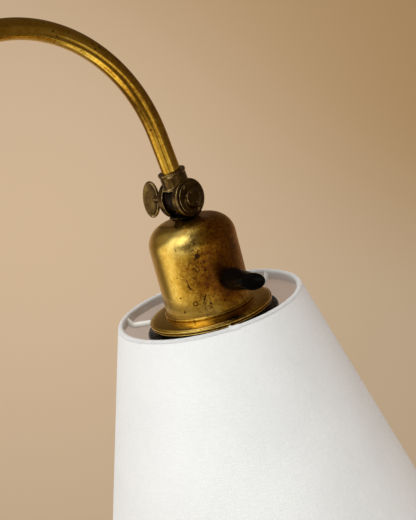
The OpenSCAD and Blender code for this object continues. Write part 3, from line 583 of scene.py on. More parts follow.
def crookPath():
    # up the column's axis, over a circular bend in the XZ plane, and down to the knuckle
    c = crook
    heights = np.linspace(c["low"], c["bendHeight"], c["straightRows"], endpoint=False)
    low = np.stack([0 * heights, 0 * heights, heights], 1)
    angle = np.linspace(np.pi, end, c["bendRows"], endpoint=False)
    bend = c["bend"] * np.stack([1 + np.cos(angle), 0 * angle, np.sin(angle)], 1) + (0, 0, c["bendHeight"])
    last = bend[-1] + (bend[-1] - bend[-2])
    stop = lamp["pivot"] + tubePlace[3] * c["endGap"]
    return np.concatenate([low, bend, last + (stop - last) * np.linspace(0, 1, c["endRows"])[:, None]])


def addCrook():
    path = crookPath()
    outside, inside = (carried(circleLine(radius, crook["sides"]), path, (0, 1, 0))
                       for radius in (crook["radius"], crook["radius"] - crook["wall"]))
    tube = meshOf("crookTube", [np.concatenate([outside, inside[::-1]])])
    fit(tube, "arm", "tube_brass", "arm_tube")


addCrook()

knuckle = {
    "earRadius": 10.1, "earInner": 3.75, "earOuter": 7.45, "earEdge": 0.7,
    "roof": 9.1, "bridge": 10.0, "mouth": 6.9,
    "collarTop": 15.5, "collarRadius": 6.95, "lip": 0.45, "lipHeight": 1.2, "bore": 5.03, "screwBore": 2.56,
    "tongueRadius": 8.3, "tongueHalf": 3.19, "tongueEdge": 0.35,
    "stubTop": 8.5, "stubRadius": 9.3, "stubFoot": 11.3, "stubFootRadius": 6.1,
    "stemRadius": 4.9, "stemLow": 26, "relief": 10.4, "web": 5.4,
}


def screwPlace(side, distance):
    # on the knuckle's own axis: side is 1 on the thumb plate's side, -1 on the nut's
    return placeOf(lamp["pivot"] + np.array([0, side * distance, 0]), (0, side, 0), tubePlace[3])


def addFork():
    k = knuckle
    thick = k["earOuter"] - k["earInner"]
    ear = refined(rounded([(k["screwBore"], 0, 0), (k["earRadius"], 0, 0.3),
                           (k["earRadius"], thick, k["earEdge"]), (k["screwBore"], thick, 0)]), 0.4)
    ears = [turned(ear, screwPlace(side, k["earInner"]), 120) for side in (1, -1)]
    bore, radius, top, roof = pick(k, "bore collarRadius collarTop roof")
    wide, neck = radius + k["lip"], top - k["lipHeight"]
    outline = rounded([(bore, roof, 0), (radius, roof, 0), (radius, neck - 0.4, 0.4),
                       (wide, neck, 0.35), (wide, top, 0.4), (bore, top, 0.25)])
    collar = turned(refined(outline, 0.5), tubePlace, 96)
    # the collar's lower end stands in the round bridge between the ears: height = sqrt(foot^2 - x^2)
    local = collar - tubePlace[0]
    x, height = local @ tubePlace[1], local @ tubePlace[3]
    foot = np.sqrt(np.maximum(((roof + k["bridge"]) / 2) ** 2 - x ** 2, 0))
    share = np.clip((height - roof) / 3, 0, 1)
    collar = collar + tubePlace[3] * ((foot - roof) * (1 - share))[..., None]
    # the bridge over the slot, an arc in the ears' plane carried from ear to ear
    outer, inner = (math.degrees(math.acos(k["mouth"] / r)) for r in (k["bridge"], roof))
    line = np.concatenate([arcLine(0, 0, k["bridge"], 90 - outer, 90 + outer, 30),
                           arcLine(0, 0, roof, 90 + inner, 90 - inner, 30)])
    reach = np.linspace(1, -1, 21)[:, None] * (k["earInner"] + 0.3)
    bridge = placed(tubePlace, line[None, :, 0], -reach, line[None, :, 1])
    fork = meshOf("knuckleFork", [*ears, collar])
    joinPieces(fork, meshOf("bridge", [capped(bridge)], wrapRows=False))
    fit(fork, "arm", "dark_bronze", "knuckle_fork")


earNut = {"base": 8.4, "step": 0.7, "boss": 4.5, "height": 2.3, "hollow": 1.25}


def addEarNut():
    base, step, boss, height, hollow = pick(earNut, "base step boss height hollow")
    outline = rounded([(0, 0, 0), (base, 0, 0.1), (base, step, 0.35), (base - 1.1, step, 0.5),
                       (boss + 1.3, hollow - 0.35, 1.2), (boss + 0.1, height - 0.5, 0.3),
                       (boss, height, 0.3), (boss - 1.2, height - 0.12, 0.8), (0, height - 0.22, 0)])
    grid = turned(refined(outline, 0.4), screwPlace(-1, knuckle["earOuter"]), 96)
    fit(meshOf("earNut", [grid], wrapColumns=False), "arm", "dark_bronze", "tilt_nut")


thumbScrew = {
    "shank": 2.5, "flange": 4.7, "flangeHeight": 1.6, "neck": 2.3,
    "plateLength": 20, "plateWidth": 13, "plateThick": 1.8, "plateOff": 16.4, "dish": 0.22, "rim": 0.93,
}


def thumbScrewGrids(place, tip):
    # a turned shank, flange and neck, and an elliptic plate: p(u, v) = (a v cos u, b v sin u, h(v))
    t = thumbScrew
    shank, neck, flange, rise = pick(t, "shank neck flange flangeHeight")
    low = t["plateOff"] - t["plateWidth"] / 2
    outline = rounded([(0, tip, 0), (shank - 0.3, tip, 0.1), (shank, tip + 0.4, 0.1), (shank, 0, 0),
                       (flange, 0, 0.25), (flange, rise, 0.5), (neck + 0.5, rise + 0.3, 0.6),
                       (neck - 0.35, low - 1, 2), (neck, low + 2.6, 0.5), (0.9, low + 4.6, 0.5),
                       (0, low + 4.8, 0)])
    # across the plate: dished middle, a raised rim, and a round edge
    half, dish, rim = t["plateThick"] / 2, t["dish"], t["rim"]
    v = np.array([0, 0.25, 0.5, 0.68, 0.78, 0.84, 0.89, rim])
    h = half - np.array([dish, dish, dish, dish, 0.7 * dish, 0.2 * dish, 0, 0.02])
    edge = np.radians(np.linspace(80, -80, 9))
    v = np.concatenate([v, rim + (1 - rim) * np.cos(edge), v[::-1]])
    h = np.concatenate([h, (half - 0.1) * np.sin(edge), -h[::-1]])
    u = aroundTurn(72)
    origin, side, across, axis = place
    plate = placed((origin + axis * t["plateOff"], side, axis, across),
                   t["plateLength"] / 2 * v * np.cos(u), t["plateWidth"] / 2 * v * np.sin(u), h[None])
    return [turned(outline, place, 48), plate]


def addTiltScrew():
    seat = knuckle["earOuter"] + 0.05
    lean = math.radians(99.6)
    place = placeOf(lamp["pivot"] + np.array([0, seat, 0]), (0, 1, 0), (math.cos(lean), 0, math.sin(lean)))
    screw = meshOf("tiltScrew", thumbScrewGrids(place, -2 * knuckle["earOuter"] - 1.1), wrapColumns=False)
    fit(screw, "tilt_screw", "dark_bronze", "tilt_screw")


def addTongue():
    k = knuckle
    bore, half, radius, edge = pick(k, "screwBore tongueHalf tongueRadius tongueEdge")
    top, topRadius, foot, footRadius = pick(k, "stubTop stubRadius stubFoot stubFootRadius")
    disc = rounded([(bore, 0, 0), (radius, 0, edge), (radius, 2 * half, edge), (bore, 2 * half, 0)])
    discPlace = placeOf(lamp["pivot"] - np.array([0, half, 0]), (0, 1, 0), headPlace[3])
    disc = turned(refined(disc, 0.5), discPlace, 80)
    # the neck: a flat bar from the tongue to the cone, its outline carried across the slot
    right = [(footRadius, foot, 0), (topRadius - 0.3, top, 0.3), (k["web"], 7, 1), (k["web"], 4, 0)]
    neck = rounded([(-x, depth, r) for x, depth, r in right[::-1]] + right)
    across = np.array([half, half - 0.3, 0.3 - half, -half])[:, None]
    shrink = np.array([0.96, 1, 1, 0.96])[:, None, None]
    ring = neck.mean(0) + (neck - neck.mean(0)) * shrink
    bar = placed(headPlace, ring[..., 0], across, ring[..., 1])
    # the cone under the ears, its top cut to a saddle around them: depth = sqrt(relief^2 - x^2)
    line = rounded([(0, top, 0), (topRadius, top, 0.35), (footRadius, foot, 0), (k["stemRadius"], foot, 0),
                    (k["stemRadius"], k["stemLow"], 0.4), (0, k["stemLow"], 0)])
    radii = np.linspace(0, 1, 9) * line[1, 0]
    cone = turned(np.concatenate([np.stack([radii, np.full(9, top)], 1), line[1:]]), headPlace, 96)
    depth, radial = headParts(cone)
    saddle = np.sqrt(np.maximum(k["relief"] ** 2 - (radial @ headPlace[1]) ** 2, top ** 2))
    depth = depth + np.where(depth < foot - 0.2, np.maximum(saddle - depth, 0), 0)
    # what sinks keeps to the cone's side
    reach = np.linalg.norm(radial, axis=-1)
    limit = topRadius - (topRadius - footRadius) / (foot - top) * (depth - top)
    sunk = depth > headParts(cone)[0]
    pull = np.where(sunk & (reach > limit), limit / np.maximum(reach, 1e-6), 1)
    cone = headPlace[0] + radial * pull[..., None] + headPlace[3] * depth[..., None]
    tongue = meshOf("knuckleTongue", [disc])
    joinPieces(tongue, meshOf("tongueRest", [capped(bar)], wrapRows=False),
               meshOf("tongueStub", [cone], wrapColumns=False))
    fit(tongue, "head", "dark_bronze", "knuckle_tongue", slotShadePatina)


addFork()
addEarNut()
addTiltScrew()
addTongue()
print("crook and knuckle made")

# the bell and the rings under it are lines of (radius, depth below the pivot)
bell = {
    "radius": 23.45, "top": 11.3, "foot": 59.3, "shoulder": 12.0, "wall": 0.9,
    "hole": 5.05, "bead": 0.7, "beadOut": 0.3, "keyHole": 3.4,
}


def keyAxis():
    # where the switch spindle's axis meets the head's, and its way out
    middle = headPoint(lamp["keyDepth"], 0, lamp["keyAngle"])
    return middle, headPoint(lamp["keyDepth"], 1, lamp["keyAngle"]) - middle


def addBell():
    radius, top, foot, shoulder, wall, bead, hole = pick(bell, "radius top foot shoulder wall bead hole")
    flat, low = radius - shoulder, top + shoulder
    side = np.linspace(low + 1, foot - 1.5, 26)
    line = np.concatenate([
        [[hole, top]], arcLine(flat, low, shoulder, -90, 0, 22), np.stack([np.full(26, radius), side], 1),
        arcLine(radius + bell["beadOut"], foot, bead, -105, 90, 10),
        [[radius - wall, foot + bead], [radius - wall, low + 1]],
        arcLine(flat, low, shoulder - wall, 0, -90, 16), [[hole, top + wall]]])
    piece = meshOf("bell", [turned(line, headPlace, 180)])
    cutHole(piece, placeOf(*keyAxis(), headPlace[3]), bell["keyHole"], 15, 30)
    fit(piece, "head", "aged_brass", "bell")


rings = {
    "hub": 20.3, "flat": 60.0, "thick": 0.9, "start": 25.05, "edge": 33.7, "edgeDepth": 62.2, "roll": 0.75,
    "lipEdge": 33.4, "lipFlat": 60.9, "lipDepth": 63.4, "lipThick": 0.6,
}


def addSaucer():
    # nearly flat by the bell, round towards a rolled edge: depth = 1 - (1 - t^2.6)^(1 / 1.6)
    hub, flat, thick, start, edge, low, roll = pick(rings, "hub flat thick start edge edgeDepth roll")
    edge -= roll
    t = np.sin(np.linspace(0, np.pi / 2, 26))
    fall = (low - roll - flat) * (1 - (1 - t ** 2.6) ** (1 / 1.6))
    out = np.stack([start + (edge - start) * t, flat + fall], 1)
    back = out[::-1] + np.array([-0.25, thick])
    line = np.concatenate([[[hub, flat]], out, arcLine(edge, low, roll, -78, 100, 12), back[1:],
                           [[hub, flat + thick]]])
    fit(meshOf("saucer", [turned(line, headPlace, 180)]), "head", "ring_brass", "flange_ring")


def addLip():
    hub, edge, flat, low, thick = pick(rings, "hub lipEdge lipFlat lipDepth lipThick")
    line = rounded([(hub, flat, 0), (hub + 2.5, flat, 1), (edge - 5, low - 0.2, 2), (edge, low, 0.28),
                    (edge, low + thick, 0.28), (edge - 5, low + 0.5, 2), (hub + 2.4, flat + thick, 1),
                    (hub, flat + thick, 0)])
    fit(meshOf("lipRing", [turned(line, headPlace, 180)]), "head", "ring_brass", "lip_ring")


shadeRing = {"radius": 36.2, "top": 66.6, "thick": 5.6, "bore": 19.53, "sleeve": 3}


def addShadeRing():
    radius, top, thick, bore, sleeve = pick(shadeRing, "radius top thick bore sleeve")
    low = top + thick
    mouth = low + sleeve
    line = rounded([(bore, top, 0.2), (radius - 4, top, 1), (radius, top + 0.15, 1.4),
                    (radius, top + 3.2, 1), (radius - 1.8, low, 0.8), (bore + 5, low, 0.6),
                    (bore + 4, mouth, 0.6), (bore, mouth, 0.3)], 7)
    fit(meshOf("shadeRing", [turned(line, headPlace, 160)]), "head", "black_resin", "shade_ring", dullResin)


skirt = {
    "radius": 19.5, "top": 51.5, "low": 82.0, "mouth": 14.55, "neck": 15.83,
    "thread": 16.4, "threadTop": 58.1, "threadLow": 77, "ribs": 36, "ribDepth": 0.22, "ribTop": 76,
}


def addSkirt():
    # the lampholder's skirt under the ring, with ribs below its thread: radius = r - d (1 + cos(n u)) / 2
    s = skirt
    radius, top, low, mouth, neck, thread = pick(s, "radius top low mouth neck thread")
    line = rounded([(neck, top, 0), (radius - 0.5, top, 0.4), (radius, top + 1, 0.4),
                    (radius, low - 1, 0.8), (radius - 1, low, 0.6), (mouth, low, 0.5),
                    (mouth, low - 2.4, 0), (thread, s["threadLow"], 0),
                    (thread, s["threadTop"], 0), (neck, s["threadTop"] - 0.6, 0)])
    grid = turned(line, headPlace, s["ribs"] * 8)
    depth, radial = headParts(grid)
    reach = np.linalg.norm(radial, axis=-1)
    ribbed = (reach > radius - 0.2) & (depth > s["ribTop"])
    cut = np.where(ribbed, s["ribDepth"] * (1 + np.cos(aroundTurn(s["ribs"] * 8) * s["ribs"])) / 2, 0)
    grid = grid - radial * (cut / reach)[..., None]
    fit(meshOf("holderSkirt", [grid], sharp=50), "head", "black_resin", "holder_skirt", dullResin)


addBell()
addSaucer()
addLip()
addShadeRing()
addSkirt()
print("bell and rings made")

# the switch key is a round hub that widens into an oval, dished end
switchKey = {
    "back": 24.05, "length": 19.6, "hub": 6.0, "hubLength": 3.6, "ovalLength": 16.0, "ovalWidth": 8.8,
    "dish": 1.0, "rim": 0.75,
}


def addKey():
    k = switchKey
    middle, outwards = keyAxis()
    outwards, spin = unit(outwards), math.radians(lamp["keySpin"])
    longWay = unit(np.cross(outwards, headPlace[3])) * math.cos(spin) - headPlace[3] * math.sin(spin)
    # stations along the key: distance, half length, half width
    a, b = k["ovalLength"] / 2, k["ovalWidth"] / 2
    hub, rim, total, start = pick(k, "hub rim length hubLength")
    back = [[far, hub - less, hub - less] for far, less in
            ((0, hub), (0, 3.55), (0, 2.4), (0.25, 1.5), (0.9, 0.6), (1.9, 0.1), (2.9, 0))]
    t = np.linspace(0.08, 1, 14)
    flare = t * t * (3 - 2 * t) * 0.35 + t * 0.65
    body = np.stack([start + (total - 2 - start) * t, hub + (a - hub) * flare, hub + (b - hub) * flare], 1)
    turn = np.radians(np.linspace(0, 90, 7))
    inset = rim * (1 - np.cos(turn))
    edge = np.stack([total - rim + rim * np.sin(turn), a - inset, b - inset], 1)
    share = np.linspace(0.97, 0, 9)
    face = np.stack([total - k["dish"] * (1 - (share * 0.98) ** 2), (a - rim) * share, (b - rim) * share], 1)
    stations = np.concatenate([back, [[start, hub + 0.02, hub - 0.05]], body, edge, face])
    u = aroundTurn(72)
    key = placed(placeOf(middle + outwards * k["back"], outwards, longWay),
                 stations[:, 1] * np.cos(u), stations[:, 2] * np.sin(u), stations[None, :, 0])
    fit(meshOf("switchKey", [key], wrapColumns=False, sharp=50), "key", "black_resin", "switch_key")


addKey()
print("key made")

shade = {
    "top": 60.3, "height": 220, "slope": 17.1, "topRadius": 51.0, "wall": 0.45, "wire": 1.15, "wireIn": 1.66,
    "steps": 256, "rows": 44, "inset": 0.02,
    "waves": ((0.10, 3, 40, 0), (0.07, 7, 110, 2), (0.04, 13, 0, 5)),   # height, number, turn, lean
    "seamAngle": 60, "seamWidth": 9, "seamStep": 0.22, "seamEdge": 0.8,
}
slope = math.tan(math.radians(shade["slope"]))
lowDepth = shade["top"] + shade["height"]
lowRadius = shade["topRadius"] + shade["height"] * slope
ringRadius = shade["topRadius"] - shade["wireIn"]
lowRingRadius = lowRadius - shade["wireIn"] / math.cos(math.radians(shade["slope"]))
# the cover's flat size: around its middle, and along its slope
around = math.pi * (shade["topRadius"] + lowRadius)
slant = shade["height"] / math.cos(math.radians(shade["slope"]))


def overlap(angle, centre, radius, width, edge):
    # 1 on a strip of some width across an angle, falling to 0 over its edge
    across = np.abs(np.radians((angle - centre + 180) % 360 - 180)) * radius
    return np.clip((width / 2 - across) / edge, 0, 1)


def addShade():
    # radius(depth) = top + slope x depth, with a waviness of 0.1 mm and a glued overlap behind
    s = shade
    angle = np.degrees(aroundTurn(s["steps"]))
    t = np.linspace(0, 1, s["rows"])[None]
    depth = s["top"] + s["height"] * t
    radius = s["topRadius"] + (depth - s["top"]) * slope
    lap = s["seamStep"] * overlap(angle, s["seamAngle"], radius, s["seamWidth"], s["seamEdge"])
    wave = sum(high * np.sin(np.radians(number * angle + turn) + lean * t)
               for high, number, turn, lean in s["waves"])
    radius = radius + wave * np.sin(t * np.pi)
    outside = headPoint(depth, radius + lap - s["inset"], angle)
    inside = headPoint(depth, radius - s["wall"], angle)
    grid = np.concatenate([outside, inside[:, ::-1]], 1)
    cover = meshOf("shadeCover", [grid], cloth=(around, 2 * slant), sharp=60)
    fit(cover, "head", "shade_fabric", "shade_cover", whiteCloth, warmLitLining)
    # the lining is on the faces that look at the axis
    normals, centres = np.empty((2, len(cover.data.polygons) * 3), np.float32)
    cover.data.polygons.foreach_get("normal", normals)
    cover.data.polygons.foreach_get("center", centres)
    radial = headParts(centres.reshape(-1, 3) / mm)[1]
    inwards = (normals.reshape(-1, 3) * radial).sum(1) < 0
    cover.data.polygons.foreach_set("material_index", inwards.astype(np.int32))
    return cover


hem = {
    "roll": 1.6, "tape": 0.25, "band": 4.6, "inset": 0.05, "crease": 0.10, "fine": 0.05,
    "edgeWander": 0.3, "bandWander": 0.08, "creases": (5, 9, 14, 23, 37), "fineCreases": (61, 83, 97),
    "joint": -120.5, "jointWidth": 5, "jointEdge": 0.5, "jointStep": 0.28, "mapWidth": 20,
}


def hemGrid(ring, level, way, seed, crumple):
    # tape rolled over a ring, then a band down the inside; its thickness, hang and edge vary a little around
    h = hem
    angle = np.degrees(aroundTurn(400))
    draw = np.random.default_rng(seed)
    crease, fine = (sum(draw.uniform(0.3, 1) * np.sin(np.radians(n * angle + draw.uniform(0, 360)))
                        for n in numbers) / len(numbers) * crumple
                    for numbers in (h["creases"], h["fineCreases"]))
    lap = h["jointStep"] * overlap(angle, h["joint"], ring, h["jointWidth"], h["jointEdge"])
    outer = h["roll"] + h["crease"] * crease + h["fine"] * fine - h["inset"] + lap
    inner = outer - h["tape"] - lap
    roll = np.linspace(-way * math.radians(shade["slope"]), math.pi, 15)
    legs = np.array([0.25, 0.5, 0.75, 1.0])
    length = way * (h["band"] + h["edgeWander"] * crease) * legs
    leg = ring - outer + length * slope + h["bandWander"] * fine * legs
    radius = np.concatenate([ring + outer * np.cos(roll), leg, (leg + h["tape"] + lap)[:, ::-1],
                             (ring + inner * np.cos(roll))[:, ::-1]], 1)
    depth = level + np.concatenate([-way * outer * np.sin(roll), length, length[:, ::-1],
                                    (-way * inner * np.sin(roll))[:, ::-1]], 1)
    return headPoint(depth, radius, angle)


def addHems(cover):
    for name, cadNode, ring, mapped, level, way, seed, crumple in (
            ("topHem", "top_tape", ringRadius, ringRadius, shade["top"], 1, 3, 1.0),
            ("bottomHem", "bottom_tape", lowRingRadius, lowRadius, lowDepth, -1, 8, 0.25)):
        piece = meshOf(name, [hemGrid(ring, level, way, seed, crumple)],
                       cloth=(2 * math.pi * mapped, hem["mapWidth"]), sharp=60)
        fit(piece, "head", "shade_tape", cadNode)


carrier = {
    "hubIn": 20.3, "hubOut": 21.8, "hubTop": 61.5, "hubLow": 66.6,
    "spoke": 1.2, "spokeTall": 1.35, "spokeDepth": 64.95, "bend": 46.14, "angles": (121, 241, 361),
}


def addCarrier():
    c = carrier
    top, depth, wire = shade["top"], c["spokeDepth"], circleLine(shade["wire"], 20)
    hub = rounded([(c["hubIn"], c["hubTop"], 0.3), (c["hubOut"], c["hubTop"], 0.3),
                   (c["hubOut"], c["hubLow"], 0.3), (c["hubIn"], c["hubLow"], 0.3)])
    piece = meshOf("shadeCarrier", [turned(hub, headPlace, 120),
                                    turned(wire + np.array([ringRadius, top]), headPlace, 160)])
    # each spoke runs out along the head, round a small bend, and up to the ring
    line = rounded([(c["hubOut"] - 0.8, depth, 0), (c["bend"], depth, 2.2),
                    (ringRadius - 0.3, top + 0.4, 0)], 9)
    gaps = np.linspace(0, 1, 8)[1:-1, None]
    line = np.concatenate([line[:1], line[0] + (line[1] - line[0]) * gaps, line[1:]])
    for angle in c["angles"]:
        flat = np.cross(headPoint(0, 1, angle) - headPlace[0], headPlace[3])
        outline = circleLine(c["spoke"], 20) * (c["spokeTall"], 1)
        grid = capped(carried(outline, headPoint(line[:, 1], line[:, 0], angle), flat))
        joinPieces(piece, meshOf("spoke", [grid], wrapRows=False))
    fit(piece, "head", "white_enamel", "shade_carrier")
    lowRing = turned(wire + np.array([lowRingRadius, lowDepth]), headPlace, 200)
    fit(meshOf("bottomRing", [lowRing]), "head", "white_enamel", "shade_bottom_ring")


addHems(addShade())
addCarrier()
print("shade made")

bulb = {
    "tip": 58.6, "length": 105, "radius": 30, "neck": 12.8, "neckDepth": 27, "open": 38,
    "bow": (4.4, 4.0), "insideShare": 0.965, "insideGap": 0.8,
}


def addBulb():
    # a ball that runs by a curve of three points into the neck: p(t) = (1-t)^2 p0 + 2 t (1-t) p1 + t^2 p2
    b = bulb
    ball = arcLine(0, b["tip"] + b["length"] - b["radius"], b["radius"], 90, -b["open"], 34)
    start, neck = ball[-1], np.array([b["neck"], b["tip"] + b["neckDepth"]])
    bow = (start + neck) / 2 - np.array(b["bow"])
    t = np.linspace(0, 1, 14)[1:, None]
    curve = (1 - t) ** 2 * start + 2 * t * (1 - t) * bow + t ** 2 * neck
    line = np.concatenate([ball, curve, [neck - np.array([0, 4])]])
    inner = line * np.array([b["insideShare"], 1]) - np.array([0, b["insideGap"]])
    inner[0, 0] = 0
    grid = turned(np.concatenate([line, inner[::-1]]), headPlace, 96)
    fit(meshOf("bulbGlass", [grid], wrapColumns=False), "head", "opal_glass", "bulb_glass")


addBulb()

column = {"radius": 8.0, "wall": 1.0, "low": 25, "top": 905, "rows": 58}
clamp = {
    "low": 887, "top": 923, "radius": 11, "socket": 8.03, "bore": 5.06, "depth": 18,
    "band": 0.5, "groove": 1.3, "boss": 5.4, "bossStart": 8.6, "bossReach": 15.4,
    "screwHeight": 914, "screwBore": 2.56, "screwTurn": 12, "screwTip": 5.15, "screwGap": 0.15,
}
foot = {"radius": 20, "height": 20, "low": 25, "bore": 8.03, "bead": 1.6}


def addColumn():
    radius, wall, low, top = pick(column, "radius wall low top")
    bore = radius - wall
    line = rounded([(bore, low, 0), (radius, low, 0), (radius, top, 0.3), (bore, top, 0.3)])
    middles = np.linspace(low, top, column["rows"] + 2)[1:-1]
    line = np.concatenate([line[:2], np.stack([0 * middles + radius, middles], 1), line[2:]])
    fit(meshOf("column", [turned(line, worldPlace, 64)]), "stand", "brass", "column")


def addClamp():
    c = clamp
    low, top, radius, socket, bore = pick(c, "low top radius socket bore")
    seat, band, groove = low + c["depth"], radius - c["band"], radius - c["groove"]
    line = rounded([(socket, low, 0), (radius - 1.5, low, 0.4), (band, low + 1, 0.6), (band, low + 3.4, 0.6),
                    (groove, low + 4, 0.5), (groove, low + 5.6, 0.5), (radius, low + 6.5, 0.7),
                    (radius, top - 6, 1.5), (radius - 4.4, top - 0.8, 1), (bore + 0.4, top, 0.3),
                    (bore, top - 0.3, 0), (bore, seat, 0), (socket, seat, 0)])
    hole, boss, start, reach = pick(c, "screwBore boss bossStart bossReach")
    bossLine = rounded([(hole, start, 0), (boss + 0.9, start, 0), (boss, start + 3, 1.2), (boss, reach, 0.7),
                        (hole, reach, 0.3)])
    bossGrid = turned(bossLine, placeOf((0, 0, c["screwHeight"]), (0, 1, 0), (0, 0, 1)), 64)
    fit(meshOf("clamp", [turned(line, worldPlace, 96), bossGrid]), "stand", "dark_bronze", "clamp_collar")
    turn, seatY = math.radians(c["screwTurn"]), reach + c["screwGap"]
    place = placeOf((0, seatY, c["screwHeight"]), (0, 1, 0), (math.cos(turn), 0, -math.sin(turn)))
    screw = meshOf("heightScrew", thumbScrewGrids(place, c["screwTip"] - seatY), wrapColumns=False)
    fit(screw, "height_screw", "dark_bronze", "height_screw")


def addFoot():
    radius, height, low, bore, bead = pick(foot, "radius height low bore bead")
    neck = column["radius"] + 3
    t = np.radians(np.linspace(0, 90, 16))
    hollow = [neck + (radius - 5 - neck) * (1 - np.sin(t)), height - 4 - (height - 8) * np.cos(t)]
    flange = rounded([(bore, 0, 0), (radius, 0, 1.1), (radius, 2.4, 1.1), (radius - 4, 3.2, 0.6)])
    beadLine = arcLine(neck, height - 2.4, bead, -80, 80, 10)
    top = rounded([(*beadLine[-1], 0), (column["radius"] + 1.2, height, 0.4), (bore, height, 0)])
    line = np.concatenate([flange, np.stack(hollow, 1), beadLine, top[1:]]) + np.array([0, low])
    fit(meshOf("columnFoot", [turned(line, worldPlace, 96)]), "stand", "brass", "column_foot")


base = {
    "radius": 125, "lift": 1, "rim": 16, "round": 5, "wall": 1.2, "seat": 25, "boss": 34, "seatRadius": 24,
    "bore": 5.2, "inletRadius": 4.88, "inletHeight": 8.6, "inletFrom": -126, "inletDepth": 7,
    "feltRadius": 121.6, "feltThick": 2, "feltEdge": 0.6,
}


def baseLine(inset):
    # the spun cover's line from its edge up and in to the seat, moved inwards by inset
    radius, lift, rim, edge, boss, seat, bore = pick(base, "radius lift rim round boss seat bore")
    corners = [(radius, lift, 0), (radius, rim, edge), (boss + 8, seat - 5, 20), (boss + 1, seat - 4.2, 1.2),
               (boss, seat - 3, 1), (base["seatRadius"] + 1.5, seat, 3), (bore, seat, 0)]
    return rounded([(max(x - inset, bore), y if i == 0 else y - inset, max(r - inset, 0.3) if r else 0)
                    for i, (x, y, r) in enumerate(corners)], 9)


def addBase():
    b = base
    line = np.concatenate([baseLine(0), baseLine(b["wall"])[::-1]])
    cover = meshOf("baseCover", [turned(line, worldPlace, 200)])
    inlet = placeOf((b["inletFrom"], 0, b["inletHeight"]), (1, 0, 0), (0, 0, 1))
    cutHole(cover, inlet, b["inletRadius"], 0, b["inletDepth"])
    fit(cover, "stand", "brass", "base_cover")
    felt, thick, edge = pick(b, "feltRadius feltThick feltEdge")
    pad = rounded([(0, 0, 0), (felt, 0, edge), (felt, thick, edge), (0, thick, 0)], 4)
    fit(meshOf("baseFelt", [turned(pad, worldPlace, 160)], wrapColumns=False), "stand", "felt", "base_felt")


addColumn()
addClamp()
addFoot()
addBase()
print("stand made")

# the nodes that stay as they are get the finish of their slot
slotOf = {part["node"]: part["material_slot"] for part in frame["record"]["subparts"]}
for name, cadNode in nodes.items():
    if not cadNode.hide_render:
        cadNode.material_slots[0].material = finishes[slotOf[name]]
print("nodes finished")

# floor, wall and lights, with lengths in metres
studio = {
    "floorRadius": 2.6, "floorColour": (0.78, 0.70, 0.60), "fadeFrom": 0.35, "fadeTo": 0.97,
    "wall": (0.462, 0.343, 0.222),
    "side": (0.14, 0.105, 0.07),   # what metal sees besides the wall
    # what lights the cloth, from the bright side of the room to the dark one
    "bright": (0.75, 0.80, 0.79), "dark": (0.42, 0.24, 0.14), "brightTurn": 15,
    "lampGlow": 3.0, "lampSize": 1.6, "lampFar": 1.9, "lampTurn": 42, "lampRise": 25,
}
# patches of colour: degrees to the left of the camera, degrees up, full within some degrees, none beyond
# others, colour. The wall is darker high on the right and lighter behind the knuckle
wallPatches = [(203.3, 37.8, 30, 44, (0.367, 0.225, 0.100)), (169.2, 2.1, 0, 30, (0.637, 0.465, 0.304))]
# what metal mirrors: the ceiling, the floor, and soft bright patches of the room
glimpses = [
    (0, 90, 56, 88, (0.095, 0.066, 0.040)), (0, -90, 14, 34, (1.60, 1.50, 1.25)),
    (-62, -23, 4, 17, (0.92, 0.85, 0.70)), (-36, -24, 4, 17, (0.95, 0.88, 0.72)),
    (-10, -24, 4, 17, (0.80, 0.74, 0.60)), (34, -34, 6, 30, (0.78, 0.72, 0.58)),
    (52, 62, 6, 30, (0.62, 0.58, 0.50)), (98, 28, 6, 30, (0.30, 0.26, 0.20)),
    (78, -23, 12, 36, (1.22, 1.12, 0.94)), (62, -4, 8, 32, (1.12, 1.08, 0.96)),
    (42, 24, 10, 34, (1.75, 1.72, 1.62)),
]
viewRight = unit(camera["right"])
toCamera = np.cross(viewRight, unit(camera["up"]))


def addFloor():
    radius, colour = studio["floorRadius"], studio["floorColour"]
    floor = bpy.data.meshes.new("floor")
    rim = np.append(circleLine(radius, 128), np.zeros((128, 1)), 1)
    floor.from_pydata(rim.tolist(), [], [list(range(len(rim)))])
    piece = bpy.data.objects.new("floor", floor)
    bpy.context.scene.collection.objects.link(piece)
    material, tree, shader, where = startMaterial("paleFloor")
    tones = ramp(noise(where, 300, 3.0), [(0.3, [0.97 * c for c in colour]), (0.7, colour)])
    setShader(shader, colour=tones, rough=0.9, specular=0.2)
    # the floor fades into the wall's colour towards its rim
    surface = shader.outputs[0].links[0].to_socket
    split = node(tree, "ShaderNodeSeparateXYZ", {"Vector": where}).outputs
    flat = node(tree, "ShaderNodeCombineXYZ", {"X": split["X"], "Y": split["Y"]}).outputs[0]
    away = node(tree, "ShaderNodeVectorMath", {0: flat}, operation="LENGTH").outputs["Value"]
    share = spread(away, radius * studio["fadeFrom"], radius * studio["fadeTo"])
    clear = node(tree, "ShaderNodeBsdfTransparent").outputs[0]
    faded = node(tree, "ShaderNodeMixShader", {0: share, 1: shader.outputs[0], 2: clear})
    setInput(surface, faded.outputs[0])
    floor.materials.append(material)
    piece.visible_glossy = False


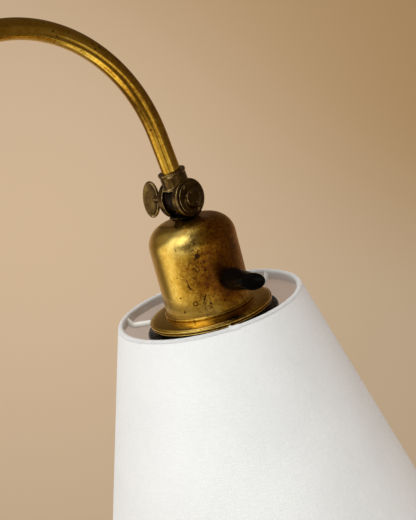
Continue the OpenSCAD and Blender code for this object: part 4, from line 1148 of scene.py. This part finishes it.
def aside(turn, rise):
    # a direction by degrees to the left of the camera and up
    turn, rise = math.radians(turn), math.radians(rise)
    flat = toCamera * math.cos(turn) - viewRight * math.sin(turn)
    return flat * math.cos(rise) + np.array([0, 0, 1]) * math.sin(rise)


def patched(where, colour, patches):
    # lays soft round patches over a colour, each by the angle from its direction
    for turn, rise, near, far, patch in patches:
        cosine = node(where.id_data, "ShaderNodeVectorMath", {0: where, 1: tuple(unit(aside(turn, rise)))},
                      operation="DOT_PRODUCT").outputs["Value"]
        angle = maths("DEGREES", maths("ARCCOSINE", cosine))
        colour = mixed(spread(angle, near, far, 1.0, 0.0), colour, patch)
    return colour


def addRoom():
    # the camera sees a plain wall, metal and glass the wall and the room around it, and cloth a soft light
    world = bpy.data.worlds.new("room")
    bpy.context.scene.world = world
    world.use_nodes = True
    tree = world.node_tree
    tree.nodes.clear()
    where = node(tree, "ShaderNodeTexCoord").outputs["Generated"]
    wall = patched(where, studio["wall"], wallPatches)
    seen = patched(where, studio["side"], [(180, 0, 30, 66, wall), *glimpses])
    lit = patched(where, studio["dark"], [(studio["brightTurn"], 0, 0, 180, studio["bright"])])
    paths = node(tree, "ShaderNodeLightPath").outputs
    mirrored = most(paths["Is Glossy Ray"], paths["Is Transmission Ray"])
    colour = mixed(paths["Is Camera Ray"], mixed(mirrored, lit, seen), wall)
    glow = node(tree, "ShaderNodeBackground", {"Color": colour, "Strength": 1.0})
    node(tree, "ShaderNodeOutputWorld", {"Surface": glow.outputs[0]})


def addLamp():
    # a large soft lamp to the left of the camera that metal doesn't mirror
    s = studio
    data = bpy.data.lights.new("softLamp", "AREA")
    data.shape, data.size = "SQUARE", s["lampSize"]
    data.energy = s["lampGlow"] * math.pi * s["lampSize"] ** 2
    piece = bpy.data.objects.new("softLamp", data)
    away = aside(s["lampTurn"], s["lampRise"])
    piece.location = Vector(lamp["pivot"] * mm + away * s["lampFar"])
    piece.rotation_euler = Vector(-away).to_track_quat("-Z", "Y").to_euler()
    piece.visible_camera = False
    piece.visible_glossy = False
    bpy.context.scene.collection.objects.link(piece)


addFloor()
addRoom()
addLamp()
bpy.context.scene.view_settings.view_transform = "Standard"

print("scene made")
